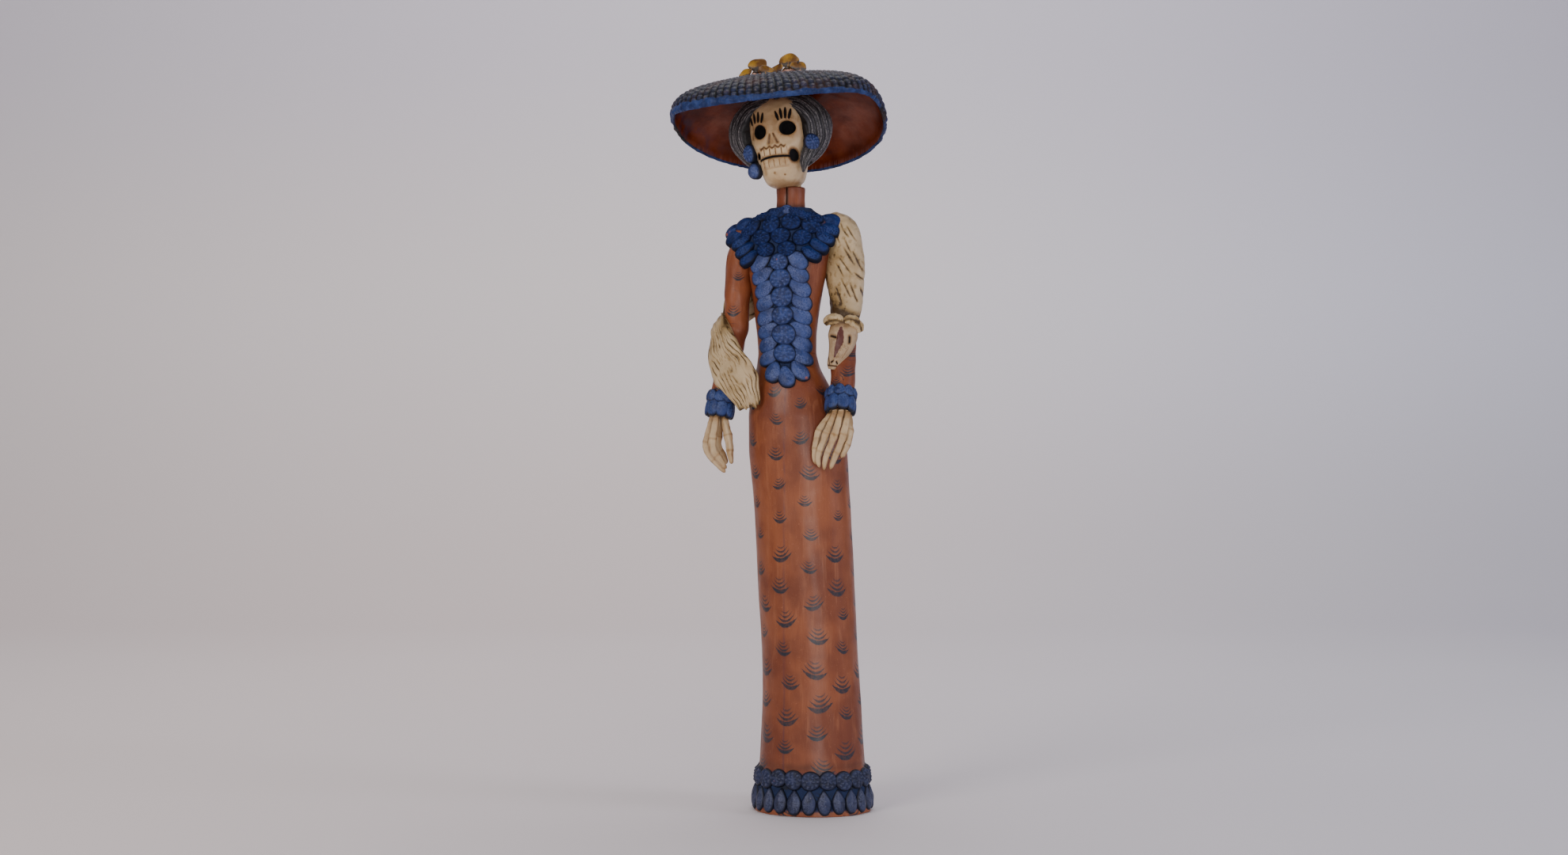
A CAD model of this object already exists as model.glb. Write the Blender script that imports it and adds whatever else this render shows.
import math

import bmesh
import bpy
import numpy as np
from mathutils import Matrix, Vector


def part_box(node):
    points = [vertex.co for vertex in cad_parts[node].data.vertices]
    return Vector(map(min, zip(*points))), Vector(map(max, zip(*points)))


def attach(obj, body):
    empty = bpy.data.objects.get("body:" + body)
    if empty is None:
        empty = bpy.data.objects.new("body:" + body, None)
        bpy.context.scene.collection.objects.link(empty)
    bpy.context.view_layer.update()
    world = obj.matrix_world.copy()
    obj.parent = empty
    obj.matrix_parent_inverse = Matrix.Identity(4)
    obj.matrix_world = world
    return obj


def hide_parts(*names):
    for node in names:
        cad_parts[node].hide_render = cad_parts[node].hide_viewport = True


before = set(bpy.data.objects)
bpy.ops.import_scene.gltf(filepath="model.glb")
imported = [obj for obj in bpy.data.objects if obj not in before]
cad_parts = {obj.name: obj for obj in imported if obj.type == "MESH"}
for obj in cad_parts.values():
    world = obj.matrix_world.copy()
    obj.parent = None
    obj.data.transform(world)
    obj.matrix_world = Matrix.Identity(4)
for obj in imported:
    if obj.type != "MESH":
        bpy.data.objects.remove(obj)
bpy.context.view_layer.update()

# The figure is laid out in millimetres on its own axis; the frame says where that axis stands.
MM = 0.001
BASE_LOW, BASE_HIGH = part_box("base_disc")
BASE_SHIFT = 0.4
STAND = np.array([(BASE_LOW[0] + BASE_HIGH[0]) / 2 / MM - BASE_SHIFT,
                  (BASE_LOW[1] + BASE_HIGH[1]) / 2 / MM, 0.0])
TAU = 2 * math.pi

NECK = np.array([-13.6, -3.1, 0.0])
NECK_TOP = 412.4
NECK_BOTTOM = 381.0
NECK_RADIUS = 9.6
NECK_BORE = 7.45
WAIST = 302.0
HEAD = Vector((-19.3, -3.9, 445.0))
HAT = Vector((-20.8, -4.8, 449.3))
HAT_RADIUS = 71.0
HAT_RISE = 29.2
HAT_WALL = 2.3
HAT_FULLNESS = 0.86
HAT_AROUND = 616

HEAD_FRAME = (Matrix.Translation(HEAD) @ Matrix.Rotation(math.radians(1.5), 4, "Z")
              @ Matrix.Rotation(math.radians(-7.0), 4, "Y"))
HAT_FRAME = (Matrix.Translation(HAT) @ Matrix.Rotation(math.radians(-3.5), 4, "Y")
             @ Matrix.Rotation(math.radians(-12.5), 4, "X"))

# Outline of the dress: height, middle in X, half width, half depth
DRESS = np.array((
    (0.3, 0.4, 38.8, 34.4), (12.0, 0.4, 37.4, 33.2), (26.0, 0.4, 35.6, 31.6),
    (48.0, 0.0, 34.2, 30.2), (79.0, -0.5, 32.6, 28.8), (106.0, -1.4, 32.2, 28.4),
    (148.0, -3.8, 32.1, 28.0), (195.0, -5.8, 32.3, 27.5), (235.0, -9.0, 32.8, 27.0),
    (262.0, -11.5, 31.0, 25.6), (280.0, -14.0, 26.5, 22.2), (293.0, -16.0, 21.6, 18.4),
    (WAIST, -16.8, 19.6, 16.8), (315.0, -17.0, 20.2, 16.6), (335.0, -17.0, 22.6, 17.6),
    (358.0, -16.5, 26.8, 18.4), (374.0, -15.6, 31.6, 17.0), (384.0, -15.0, 33.0, 15.2),
    (390.0, -14.6, 29.0, 14.2), (394.0, -14.2, 20.5, 13.4), (398.0, -13.6, 13.0, 12.8)))
DRESS_WALL = 2.4

# The arms from shoulder to wrist: x, y, height, radius
RIGHT_ARM = (
    (-44.0, -0.5, 382.0, 8.6), (-49.0, -1.6, 363.0, 9.0), (-49.8, -4.4, 339.0, 8.6), (-50.2, -6.2, 318.0, 7.8),
    (-52.6, -10.1, 303.0, 7.2), (-55.8, -13.9, 287.0, 7.0), (-58.4, -17.0, 266.0, 7.4))
LEFT_ARM = (
    (10.0, 2.0, 379.0, 8.6), (18.0, 4.6, 362.0, 8.6), (21.0, 7.0, 340.0, 8.2), (21.8, 5.4, 320.0, 8.2),
    (22.2, -1.6, 305.0, 8.2), (23.0, -10.4, 288.0, 8.2), (23.4, -19.4, 268.0, 8.0))


# ---------------------------------------------------------------- shaping tools

def smooth_step(value, low, high):
    part = np.clip((value - low) / (high - low), 0.0, 1.0)
    return part * part * (3 - 2 * part)


def bell(value, middle, width):
    return np.exp(-((value - middle) / width) ** 2)


def unit(vectors):
    """The same directions with a length of 1."""
    return vectors / np.linalg.norm(vectors, axis=-1, keepdims=True)


def turns(count):
    """Angles all the way round, the last one short of the first."""
    return np.linspace(0, TAU, count, endpoint=False)


def lengthwise(rows, columns):
    """How far along its rows each point of a grid lies, 0 to 1."""
    return np.linspace(0, 1, rows)[:, None] * np.ones(columns)


def wobble(points, size, seed, waves=9):
    """Smooth uneven values, mostly between -1 and 1, that change over a distance of size."""
    draw = np.random.RandomState(seed)
    directions = unit(draw.normal(size=(waves, 3)))
    pace = draw.uniform(0.6, 1.6, waves) * TAU / size
    phase = draw.uniform(0, TAU, waves)
    return np.sin(points @ (directions * pace[:, None]).T + phase).sum(axis=-1) / math.sqrt(waves)


def spline(rows, count):
    """Catmull-Rom curve through the rows of a table, as count rows evenly spaced along it."""
    rows = np.asarray(rows, float)
    rows = np.vstack((2 * rows[0] - rows[1], rows, 2 * rows[-1] - rows[-2]))
    fine = []
    for index in range(1, len(rows) - 2):
        before, start, end, after = rows[index - 1:index + 3]
        for t in np.linspace(0, 1, 24, endpoint=False):
            fine.append(0.5 * (2 * start + (end - before) * t
                               + (2 * before - 5 * start + 4 * end - after) * t ** 2
                               + (3 * start - 3 * end + after - before) * t ** 3))
    fine = np.array(fine + [rows[-2]])
    length = np.concatenate(([0], np.cumsum(np.linalg.norm(np.diff(fine[:, :3], axis=0), axis=1))))
    wanted = np.linspace(0, length[-1], count)
    return np.stack([np.interp(wanted, length, fine[:, k]) for k in range(fine.shape[1])], axis=1)


def segment_distance(points, start, end):
    """Distance of 2D points to a stroke, and how far along the stroke they lie, 0 to 1."""
    start = np.asarray(start, float)
    along = np.asarray(end, float) - start
    part = np.clip(((points - start) @ along) / (along @ along), 0, 1)
    return np.linalg.norm(points - start - part[..., None] * along, axis=-1), part


class Shape:
    """Vertices, faces and per-vertex values of one piece, in millimetres."""

    def __init__(self, *names):
        self.names = names
        self.verts = []
        self.faces = []
        self.kinds = []
        self.values = {name: [] for name in names}
        self.count = 0

    def add(self, points, faces, kind=0, **values):
        points = np.asarray(points, float).reshape(-1, 3)
        self.verts.append(points)
        self.faces += [tuple(int(corner) + self.count for corner in face) for face in faces]
        self.kinds += [kind] * len(faces)
        for name in self.names:
            value = np.asarray(values.get(name, 0.0), float).reshape(-1)
            self.values[name].append(np.broadcast_to(value, (len(points),)))
        self.count += len(points)
        return self

    def grid(self, points, wrap=True, caps=(False, False), kind=0, **values):
        """A grid of rows; wrap joins each row's ends, caps close the first and last rows."""
        rows, columns = points.shape[:2]
        flat = points.reshape(-1, 3)
        faces = []
        last = columns if wrap else columns - 1
        for row in range(rows - 1):
            for column in range(last):
                after = (column + 1) % columns
                faces.append((row * columns + column, row * columns + after,
                              (row + 1) * columns + after, (row + 1) * columns + column))
        values = {name: np.broadcast_to(value, (rows, columns)).reshape(-1).copy()
                  for name, value in values.items()}
        extra = []
        for row, wanted in ((0, caps[0]), (rows - 1, caps[1])):
            if not wanted:
                continue
            hub = len(flat) + len(extra)
            extra.append(points[row].mean(axis=0))
            for name in values:
                values[name] = np.append(values[name], values[name][row * columns])
            for column in range(columns):
                pair = (row * columns + column, row * columns + (column + 1) % columns)
                faces.append((hub, pair[1], pair[0]) if row == 0 else (hub, pair[0], pair[1]))
        if extra:
            flat = np.vstack((flat, extra))
        return self.add(flat, faces, kind, **values)

    def moved(self, matrix):
        turn = np.array(matrix)
        self.verts = [points @ turn[:3, :3].T + turn[:3, 3] for points in self.verts]
        return self


def make(name, shape, materials, body, stands_for, sharp=50):
    """Turns a shape into a piece of the figure that rides on a body and stands for CAD nodes."""
    mesh = bpy.data.meshes.new(name)
    points = (np.vstack(shape.verts) + STAND) * MM
    mesh.from_pydata(points.tolist(), [], shape.faces)
    mesh.polygons.foreach_set("material_index", shape.kinds)
    for label in shape.names:
        layer = mesh.attributes.new(label, "FLOAT", "POINT")
        layer.data.foreach_set("value", np.concatenate(shape.values[label]).astype(np.float32))
    bm = bmesh.new()
    bm.from_mesh(mesh)
    bmesh.ops.recalc_face_normals(bm, faces=bm.faces)
    bm.to_mesh(mesh)
    bm.free()
    for material in materials:
        mesh.materials.append(material)
    mesh.shade_smooth()
    mesh.set_sharp_from_angle(angle=math.radians(sharp))
    piece = bpy.data.objects.new(name, mesh)
    bpy.context.scene.collection.objects.link(piece)
    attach(piece, body)
    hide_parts(*stands_for)
    return piece


def one_grid(name, node, points, material, slot, body="figure", matrix=None, sharp=50, **values):
    """Makes a piece of one closed grid of points and its per-vertex values."""
    shape = Shape(*values)
    shape.grid(points, caps=(True, True), **values)
    if matrix is not None:
        shape.moved(matrix)
    make(name, shape, [material], body, [node], sharp)


# ---------------------------------------------------------------- surfaces that pieces lie on

FINE_HEIGHTS = np.arange(0.0, 398.5, 0.5)
SOFT = np.hanning(17)
SOFT /= SOFT.sum()


def softened(column):
    values = np.interp(FINE_HEIGHTS, DRESS[:, 0], DRESS[:, column])
    padded = np.concatenate((np.full(8, values[0]), values, np.full(8, values[-1])))
    return np.convolve(padded, SOFT, "valid")


DRESS_MIDDLE, DRESS_WIDTH, DRESS_DEPTH = (softened(column) for column in (1, 2, 3))
DRESS_LEAN = np.clip((FINE_HEIGHTS - 374.0) / 24.0, 0, 1) * NECK[1]


def dress_point(angle, height, grow=0.0):
    """Points on the dress at an angle about its axis and a height, and the outward directions there."""
    middle, width, depth, lean = (np.interp(height, FINE_HEIGHTS, table)
                                  for table in (DRESS_MIDDLE, DRESS_WIDTH, DRESS_DEPTH, DRESS_LEAN))
    slope = (np.interp(height + 1.0, FINE_HEIGHTS, DRESS_WIDTH)
             - np.interp(height - 1.0, FINE_HEIGHTS, DRESS_WIDTH)) / 2.0
    normal = unit(np.stack((np.cos(angle) / width, np.sin(angle) / depth, 0 * width), axis=-1))
    normal[..., 2] = -slope
    normal = unit(normal)
    point = np.stack((middle + np.cos(angle) * width, lean + np.sin(angle) * depth, height + 0 * width),
                     axis=-1)
    return point + normal * np.expand_dims(grow, -1), normal


def dress_patch(x, height, turn=0.0, angle=None):
    """A function from offsets across, along and above to points on the dress round one spot."""
    middle, width, depth = (float(np.interp(height, FINE_HEIGHTS, table))
                            for table in (DRESS_MIDDLE, DRESS_WIDTH, DRESS_DEPTH))
    if angle is None:
        angle = -math.acos(max(min((x - middle) / width, 0.99), -0.99))
    pace = math.hypot(width * math.sin(angle), depth * math.cos(angle))
    cos_turn, sin_turn = math.cos(turn), math.sin(turn)

    def at(across, along, above):
        side = across * cos_turn - along * sin_turn
        rise = across * sin_turn + along * cos_turn
        return dress_point(angle + side / pace, height + rise, above)[0]
    return at


def plane_patch(middle, normal, up, bend=14.0):
    """As dress_patch, on a gently domed spot that faces along normal."""
    normal = unit(normal)
    across_axis = unit(np.cross(up, normal))
    along_axis = np.cross(normal, across_axis)

    def at(across, along, above):
        drop = (across ** 2 + along ** 2) / (2 * bend)
        return (np.asarray(middle) + np.multiply.outer(across, across_axis)
                + np.multiply.outer(along, along_axis) + np.multiply.outer(above - drop, normal))
    return at


def ring_patch(middle, axis, radius, angle):
    """As dress_patch, round a wrist: along runs up the axis."""
    axis = unit(axis)
    first = unit(np.cross((0, 1.0, 0), axis))
    second = np.cross(axis, first)

    def at(across, along, above):
        theta = angle + across / radius
        spoke = np.multiply.outer(np.cos(theta), first) + np.multiply.outer(np.sin(theta), second)
        return np.asarray(middle) + spoke * (radius + above)[..., None] + np.multiply.outer(along, axis)
    return at


def pad(shape, patch, outline, relief, rings=11, around=36, sink=0.9):
    """One pressed clay piece: a domed top that follows relief, a wall and a sunk underside."""
    angle = turns(around)
    across_edge, along_edge = outline(angle)
    rho = (np.arange(1, rings + 1) / rings)[:, None]
    height, worn = relief(rho, angle[None, :])
    across = rho * across_edge
    along = rho * along_edge
    top = patch(across, along, height)
    foot = patch(across_edge[None, :] * 0.985, along_edge[None, :] * 0.985, np.full((1, around), -sink))
    points = np.concatenate((top, foot))[::-1]
    rhos = np.concatenate((np.broadcast_to(rho, height.shape), np.ones((1, around))))[::-1]
    worn = np.concatenate((worn, np.zeros((1, around))))[::-1]
    shape.grid(points, caps=(True, True), rho=rhos, worn=worn)


def leaf_outline(half_across, half_along, point=0.28):
    """A rounded petal whose upper end comes to a blunt point."""
    def outline(angle):
        along = np.sin(angle)
        across = np.sign(np.cos(angle)) * np.abs(np.cos(angle)) ** 0.82
        taper = 1.0 - point * np.clip(along, 0, 1) ** 1.3
        return half_across * across * taper, half_along * along
    return outline


def uneven_outline(half_across, half_along, draw):
    """A disc or oval, slightly out of round."""
    phases = draw.uniform(0, TAU, 3)

    def outline(angle):
        size = 1 + 0.03 * np.sin(2 * angle + phases[0]) + 0.02 * np.sin(3 * angle + phases[1])
        return half_across * size * np.cos(angle), half_along * size * np.sin(angle)
    return outline


def petal_relief(thick, draw, lift=0.0, ridge=0.0):
    """A soft pillow, a little hollow beside its ridge, raised towards its lower end."""
    dent = draw.uniform(0.05, 0.2)
    phase = draw.uniform(0, TAU)

    def relief(rho, angle):
        pillow = thick * (1 - rho ** 2.6) ** 0.62
        hollow = -dent * thick * bell(rho, 0.45, 0.3) * (0.6 + 0.4 * np.cos(2 * angle + phase))
        keel = ridge * bell(rho * np.cos(angle), 0.0, 0.16) * (1 - rho ** 3)
        tilt = -lift * rho * np.sin(angle)
        worn = 0.4 + 0.6 * (1 - rho ** 4) * (0.6 + 0.4 * np.cos(angle - phase))
        return pillow + hollow + keel + tilt + lift * 0.6 + 0.15, worn
    return relief


def rosette_relief(thick, draw):
    """A pressed disc with a ring of small bumps round a middle one and short strokes outside them."""
    inner = draw.randint(5, 7)
    outer = draw.randint(8, 11)
    phase = draw.uniform(0, TAU, 2)

    def relief(rho, angle):
        disc = thick * (1 - rho ** 5) ** 0.5 * (1 - 0.12 * rho ** 2)
        centre = 0.28 * bell(rho, 0.0, 0.14)
        first = bell(rho, 0.34, 0.11) * np.maximum(np.cos(inner * angle + phase[0]), -0.6)
        second = bell(rho, 0.66, 0.13) * np.maximum(np.cos(outer * angle + phase[1] + 2 * rho), -0.7)
        pressed = centre + 0.5 * first + 0.48 * second - 0.25 * bell(rho, 0.5, 0.05)
        return disc + pressed + 0.1, np.clip(0.42 + 0.9 * pressed, 0, 1)
    return relief


def rosette(shape, patch, half_across, half_along, thick, draw, rings, around):
    outline = uneven_outline(half_across, half_along, draw)
    pad(shape, patch, outline, rosette_relief(thick, draw), rings, around)


# ---------------------------------------------------------------- paint

class Paint:
    """A Principled material and short names for the nodes that colour it."""

    def __init__(self, name):
        self.material = bpy.data.materials.new(name)
        self.material.use_nodes = True
        self.tree = self.material.node_tree
        self.shader = self.tree.nodes["Principled BSDF"]
        self.place = self.tree.nodes.new("ShaderNodeTexCoord").outputs["Object"]

    def feed(self, socket, value):
        if isinstance(value, bpy.types.NodeSocket):
            self.tree.links.new(value, socket)
        else:
            socket.default_value = value

    def math(self, operation, first, second=0.0, clamp=False):
        node = self.tree.nodes.new("ShaderNodeMath")
        node.operation = operation
        node.use_clamp = clamp
        self.feed(node.inputs[0], first)
        self.feed(node.inputs[1], second)
        return node.outputs[0]

    def off_centre(self, value, size):
        """How far a value from 0 to 1 lies from its middle, times size."""
        return self.math("MULTIPLY", self.math("SUBTRACT", value, 0.5), size)

    def value(self, name):
        node = self.tree.nodes.new("ShaderNodeAttribute")
        node.attribute_name = name
        return node.outputs["Fac"]

    def stretched(self, scale):
        node = self.tree.nodes.new("ShaderNodeMapping")
        self.feed(node.inputs["Vector"], self.place)
        node.inputs["Scale"].default_value = scale
        return node.outputs[0]

    def noise(self, scale, detail=4.0, rough=0.55, twist=0.0, stretch=None):
        node = self.tree.nodes.new("ShaderNodeTexNoise")
        self.feed(node.inputs["Vector"], self.stretched(stretch) if stretch else self.place)
        node.inputs["Scale"].default_value = scale
        node.inputs["Detail"].default_value = detail
        node.inputs["Roughness"].default_value = rough
        node.inputs["Distortion"].default_value = twist
        return node.outputs["Fac"]

    def dice(self, first, second):
        """Three random values from 0 to 1 for each pair of whole numbers."""
        pair = self.tree.nodes.new("ShaderNodeCombineXYZ")
        self.feed(pair.inputs[0], first)
        self.feed(pair.inputs[1], second)
        noise = self.tree.nodes.new("ShaderNodeTexWhiteNoise")
        noise.noise_dimensions = "2D"
        self.feed(noise.inputs["Vector"], pair.outputs[0])
        split = self.tree.nodes.new("ShaderNodeSeparateColor")
        self.feed(split.inputs[0], noise.outputs["Color"])
        return tuple(split.outputs)

    def between(self, value, low, high, out_low=0.0, out_high=1.0):
        """Maps a value from low..high to out_low..out_high, softly and clamped."""
        node = self.tree.nodes.new("ShaderNodeMapRange")
        node.interpolation_type = "SMOOTHSTEP"
        for socket, part in zip(node.inputs, (value, low, high, out_low, out_high)):
            self.feed(socket, part)
        return node.outputs[0]

    def mix(self, amount, first, second):
        node = self.tree.nodes.new("ShaderNodeMix")
        node.data_type = "RGBA"
        self.feed(node.inputs["Factor"], amount)
        self.feed(node.inputs["A"], self.colour(first))
        self.feed(node.inputs["B"], self.colour(second))
        return node.outputs["Result"]

    @staticmethod
    def colour(value):
        return (*value, 1.0) if isinstance(value, tuple) and len(value) == 3 else value

    def finish(self, colour, rough, height=None, depth=0.0002, coat=0.0, coat_rough=0.3, gleam=0.3):
        self.feed(self.shader.inputs["Base Color"], colour)
        self.feed(self.shader.inputs["Roughness"], rough)
        self.shader.inputs["Specular IOR Level"].default_value = gleam
        self.feed(self.shader.inputs["Coat Weight"], coat)
        self.shader.inputs["Coat Roughness"].default_value = coat_rough
        if height is not None:
            bump = self.tree.nodes.new("ShaderNodeBump")
            bump.inputs["Strength"].default_value = 1.0
            bump.inputs["Distance"].default_value = depth
            self.feed(bump.inputs["Height"], height)
            self.feed(self.shader.inputs["Normal"], bump.outputs[0])
        return self.material


# The brush strokes of one mark, lowest first: half width in millimetres and how much paint each holds
STROKES = ((6.8, 1.0), (5.4, 0.95), (4.0, 0.85), (2.7, 0.7))
LOWEST_STROKE = -4.4
STROKE_PITCH = 2.35
STROKE_BOW = 0.085


def nested_strokes(paint, across, tilted):
    """Four upturned brush strokes, one inside the other, round the middle of two offsets in millimetres."""
    ragged = paint.off_centre(paint.noise(900.0, 3.0), 0.9)
    bow = paint.math("MULTIPLY", paint.math("MULTIPLY", across, across), STROKE_BOW)
    total = None
    for level, (half, weight) in enumerate(STROKES):
        middle = LOWEST_STROKE + STROKE_PITCH * level
        fullest = 1.75 if level == 0 else 0.98
        curve = paint.math("MULTIPLY", bow, 1.0 + 0.6 * level)
        gap = paint.math("SUBTRACT", paint.math("SUBTRACT", tilted, curve), middle)
        gap = paint.math("ABSOLUTE", paint.math("ADD", gap, ragged))
        reach = paint.math("DIVIDE", paint.math("ABSOLUTE", paint.math("ADD", across, ragged)), half)
        thick = paint.math("MULTIPLY", paint.between(reach, 0.3, 1.0, fullest, 0.32), weight)
        near = paint.math("SUBTRACT", 1.0, paint.math("DIVIDE", gap, thick), clamp=True)
        near = paint.between(near, 0.08, 0.5)
        stroke = paint.math("MULTIPLY", near, paint.between(reach, 1.05, 0.8, 0.0, weight))
        total = stroke if total is None else paint.math("MAXIMUM", total, stroke)
    return total


MARK_COLUMNS = 10.0
MARK_PITCH = 21.5
MARK_SPACING = 19.0
MARKS_END = 276.0


def painted_marks(paint):
    """Staggered brush marks round the skirt, each a little out of place, out of level and out of size."""
    turn = paint.math("ARCTAN2", paint.value("side_y"), paint.value("side_x"))
    column = paint.math("ADD", paint.math("MULTIPLY", turn, MARK_COLUMNS / TAU), 20.5)
    column_cell = paint.math("FLOOR", column)
    stagger = paint.math("MULTIPLY", paint.math("MODULO", column_cell, 2.0), 0.47)
    row = paint.math("ADD", paint.math("DIVIDE", paint.value("height"), MARK_PITCH), stagger)
    shift, lean, size = paint.dice(column_cell, paint.math("FLOOR", row))
    across = paint.off_centre(paint.math("FRACT", column), MARK_SPACING)
    across = paint.math("ADD", across, paint.off_centre(shift, 5.0))
    rise = paint.off_centre(paint.math("FRACT", row), MARK_PITCH)
    rise = paint.math("ADD", rise, paint.off_centre(size, 4.0))
    tilted = paint.math("SUBTRACT", rise, paint.math("MULTIPLY", across, paint.off_centre(lean, 0.55)))
    scale = paint.between(paint.value("height"), 20.0, 260.0, 1.2, 0.86)
    scale = paint.math("MULTIPLY", scale, paint.math("ADD", paint.math("MULTIPLY", size, 0.45), 0.78))
    total = nested_strokes(paint, paint.math("DIVIDE", across, scale), paint.math("DIVIDE", tilted, scale))
    kept = paint.between(paint.value("height"), MARKS_END, MARKS_END + 8.0, 1.0, 0.0)
    return paint.math("MULTIPLY", total, kept)


def dress_paint(name, marks):
    """Streaky orange-red paint, dark in its corners and blue under the trim, with brush marks."""
    paint = Paint(name)
    broad = paint.noise(28.0, 3.0)
    streak = paint.noise(210.0, 4.0, 0.6, 0.4, (1.0, 1.0, 0.13))
    fine = paint.noise(700.0, 3.0, 0.6)
    base = paint.mix(paint.between(broad, 0.35, 0.68), (0.160, 0.037, 0.014), (0.270, 0.076, 0.027))
    base = paint.mix(paint.between(streak, 0.5, 0.78, 0.0, 0.5), base, (0.37, 0.135, 0.060))
    base = paint.mix(paint.between(streak, 0.46, 0.22, 0.0, 0.6), base, (0.15, 0.028, 0.009))
    base = paint.mix(paint.between(fine, 0.60, 0.78, 0.0, 0.3), base, (0.48, 0.20, 0.11))
    base = paint.mix(paint.math("MULTIPLY", paint.value("grime"), 0.85), base, (0.055, 0.014, 0.006))
    under = paint.mix(paint.noise(260.0, 3.0), (0.006, 0.010, 0.030), (0.018, 0.034, 0.105))
    base = paint.mix(paint.value("under"), base, under)
    if marks:
        strokes = painted_marks(paint)
    else:
        strokes = nested_strokes(paint, paint.value("aside"), paint.value("above"))
    dry = paint.between(paint.noise(480.0, 3.0, 0.6), 0.28, 0.62, 0.7, 1.0)
    base = paint.mix(paint.math("MULTIPLY", strokes, dry), base, (0.015, 0.018, 0.030))
    rough = paint.between(paint.noise(95.0, 4.0), 0.3, 0.7, 0.4, 0.58)
    height = paint.math("ADD", paint.math("MULTIPLY", fine, 0.35), streak)
    rough = paint.math("MAXIMUM", rough, paint.math("MULTIPLY", paint.value("under"), 0.9))
    coat = paint.math("MULTIPLY", paint.math("SUBTRACT", 1.0, paint.value("under")), 0.26 if marks else 0.06)
    return paint.finish(base, rough, height, 0.0003, coat, 0.32)


def petal_paint(name, dark, mid, light, grit=1.0, gleam=0.25, coat=0.1):
    """Blue paint rubbed lighter on raised parts, dark in the joints, with dust and a few red chips."""
    paint = Paint(name)
    rho = paint.value("rho")
    worn = paint.value("worn")
    patch = paint.noise(150.0, 4.0, 0.6)
    fine = paint.noise(900.0, 4.0, 0.65)
    base = paint.mix(paint.between(patch, 0.34, 0.66), dark, mid)
    rub = paint.math("MULTIPLY", paint.between(worn, 0.25, 0.95), paint.between(fine, 0.36, 0.62))
    base = paint.mix(paint.math("MULTIPLY", rub, 0.85), base, light)
    dust = paint.math("MULTIPLY", paint.between(fine, 0.64, 0.74), 0.5 * grit)
    base = paint.mix(dust, base, (0.30, 0.24, 0.25))
    base = paint.mix(paint.between(worn, 0.34, 0.05, 0.0, 0.6), base, (0.006, 0.010, 0.032))
    base = paint.mix(paint.between(rho, 0.74, 0.98, 0.0, 0.95), base, (0.007, 0.008, 0.015))
    chips = paint.between(paint.noise(75.0, 2.0), 0.70, 0.73)
    chips = paint.math("MULTIPLY", chips, paint.between(rho, 1.0, 0.7))
    base = paint.mix(chips, base, (0.36, 0.10, 0.045))
    rough = paint.between(fine, 0.3, 0.7, 0.42, 0.62)
    height = paint.math("ADD", paint.math("MULTIPLY", fine, 0.6), paint.noise(300.0, 3.0))
    return paint.finish(base, rough, height, 0.00025, coat, 0.35, gleam)


def bone_paint(name, light=(0.575, 0.420, 0.250), shade=(0.31, 0.160, 0.057), wash=(0.090, 0.036, 0.012),
               chipped=False):
    """Cream paint, a brown wash in its hollows, black strokes and, if chipped, a maroon flake."""
    paint = Paint(name)
    broad = paint.noise(60.0, 3.0)
    fine = paint.noise(650.0, 4.0, 0.6)
    base = paint.mix(paint.between(broad, 0.40, 0.74, 0.0, 0.5), light, shade)
    base = paint.mix(paint.between(fine, 0.55, 0.8, 0.0, 0.3), base, (0.72, 0.60, 0.45))
    smudge = paint.between(paint.noise(120.0, 4.0, 0.65), 0.52, 0.72, 0.0, 0.3)
    ragged = paint.off_centre(fine, 0.6)
    stain = paint.math("ADD", paint.value("stain"), paint.math("MULTIPLY", ragged, paint.value("stain")))
    stain = paint.math("ADD", stain, smudge)
    base = paint.mix(paint.between(stain, 0.0, 0.6, 0.0, 0.75), base, shade)
    base = paint.mix(paint.between(stain, 0.45, 1.0, 0.0, 0.95), base, wash)
    base = paint.mix(paint.between(paint.value("black"), 0.3, 0.7), base, (0.006, 0.005, 0.006))
    if chipped:
        maroon = paint.mix(paint.noise(300.0), (0.085, 0.026, 0.022), (0.125, 0.040, 0.034))
        base = paint.mix(paint.between(paint.value("chip"), 0.4, 0.55), base, maroon)
    matt = paint.between(paint.value("black"), 0.2, 0.6)
    rough = paint.between(fine, 0.3, 0.7, 0.38, 0.55)
    rough = paint.math("MAXIMUM", rough, paint.math("MULTIPLY", matt, 0.95))
    coat = paint.math("MULTIPLY", paint.math("SUBTRACT", 1.0, matt), 0.12)
    return paint.finish(base, rough, fine, 0.00018, coat, 0.3, 0.24)


def hair_paint():
    """Near-black paint in the grooves, grey and dusty on the ridges."""
    paint = Paint("hair_paint")
    ridge = paint.value("ridge")
    fine = paint.noise(800.0, 4.0, 0.6)
    base = paint.mix(paint.between(ridge, 0.35, 0.95), (0.0075, 0.0065, 0.0075), (0.062, 0.058, 0.066))
    dust = paint.math("MULTIPLY", paint.between(ridge, 0.55, 0.95), paint.between(fine, 0.4, 0.62))
    base = paint.mix(paint.math("MULTIPLY", dust, 0.9), base, (0.25, 0.23, 0.235))
    rough = paint.between(fine, 0.3, 0.7, 0.4, 0.55)
    return paint.finish(base, rough, fine, 0.0002, coat=0.05, coat_rough=0.3, gleam=0.22)


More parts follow.
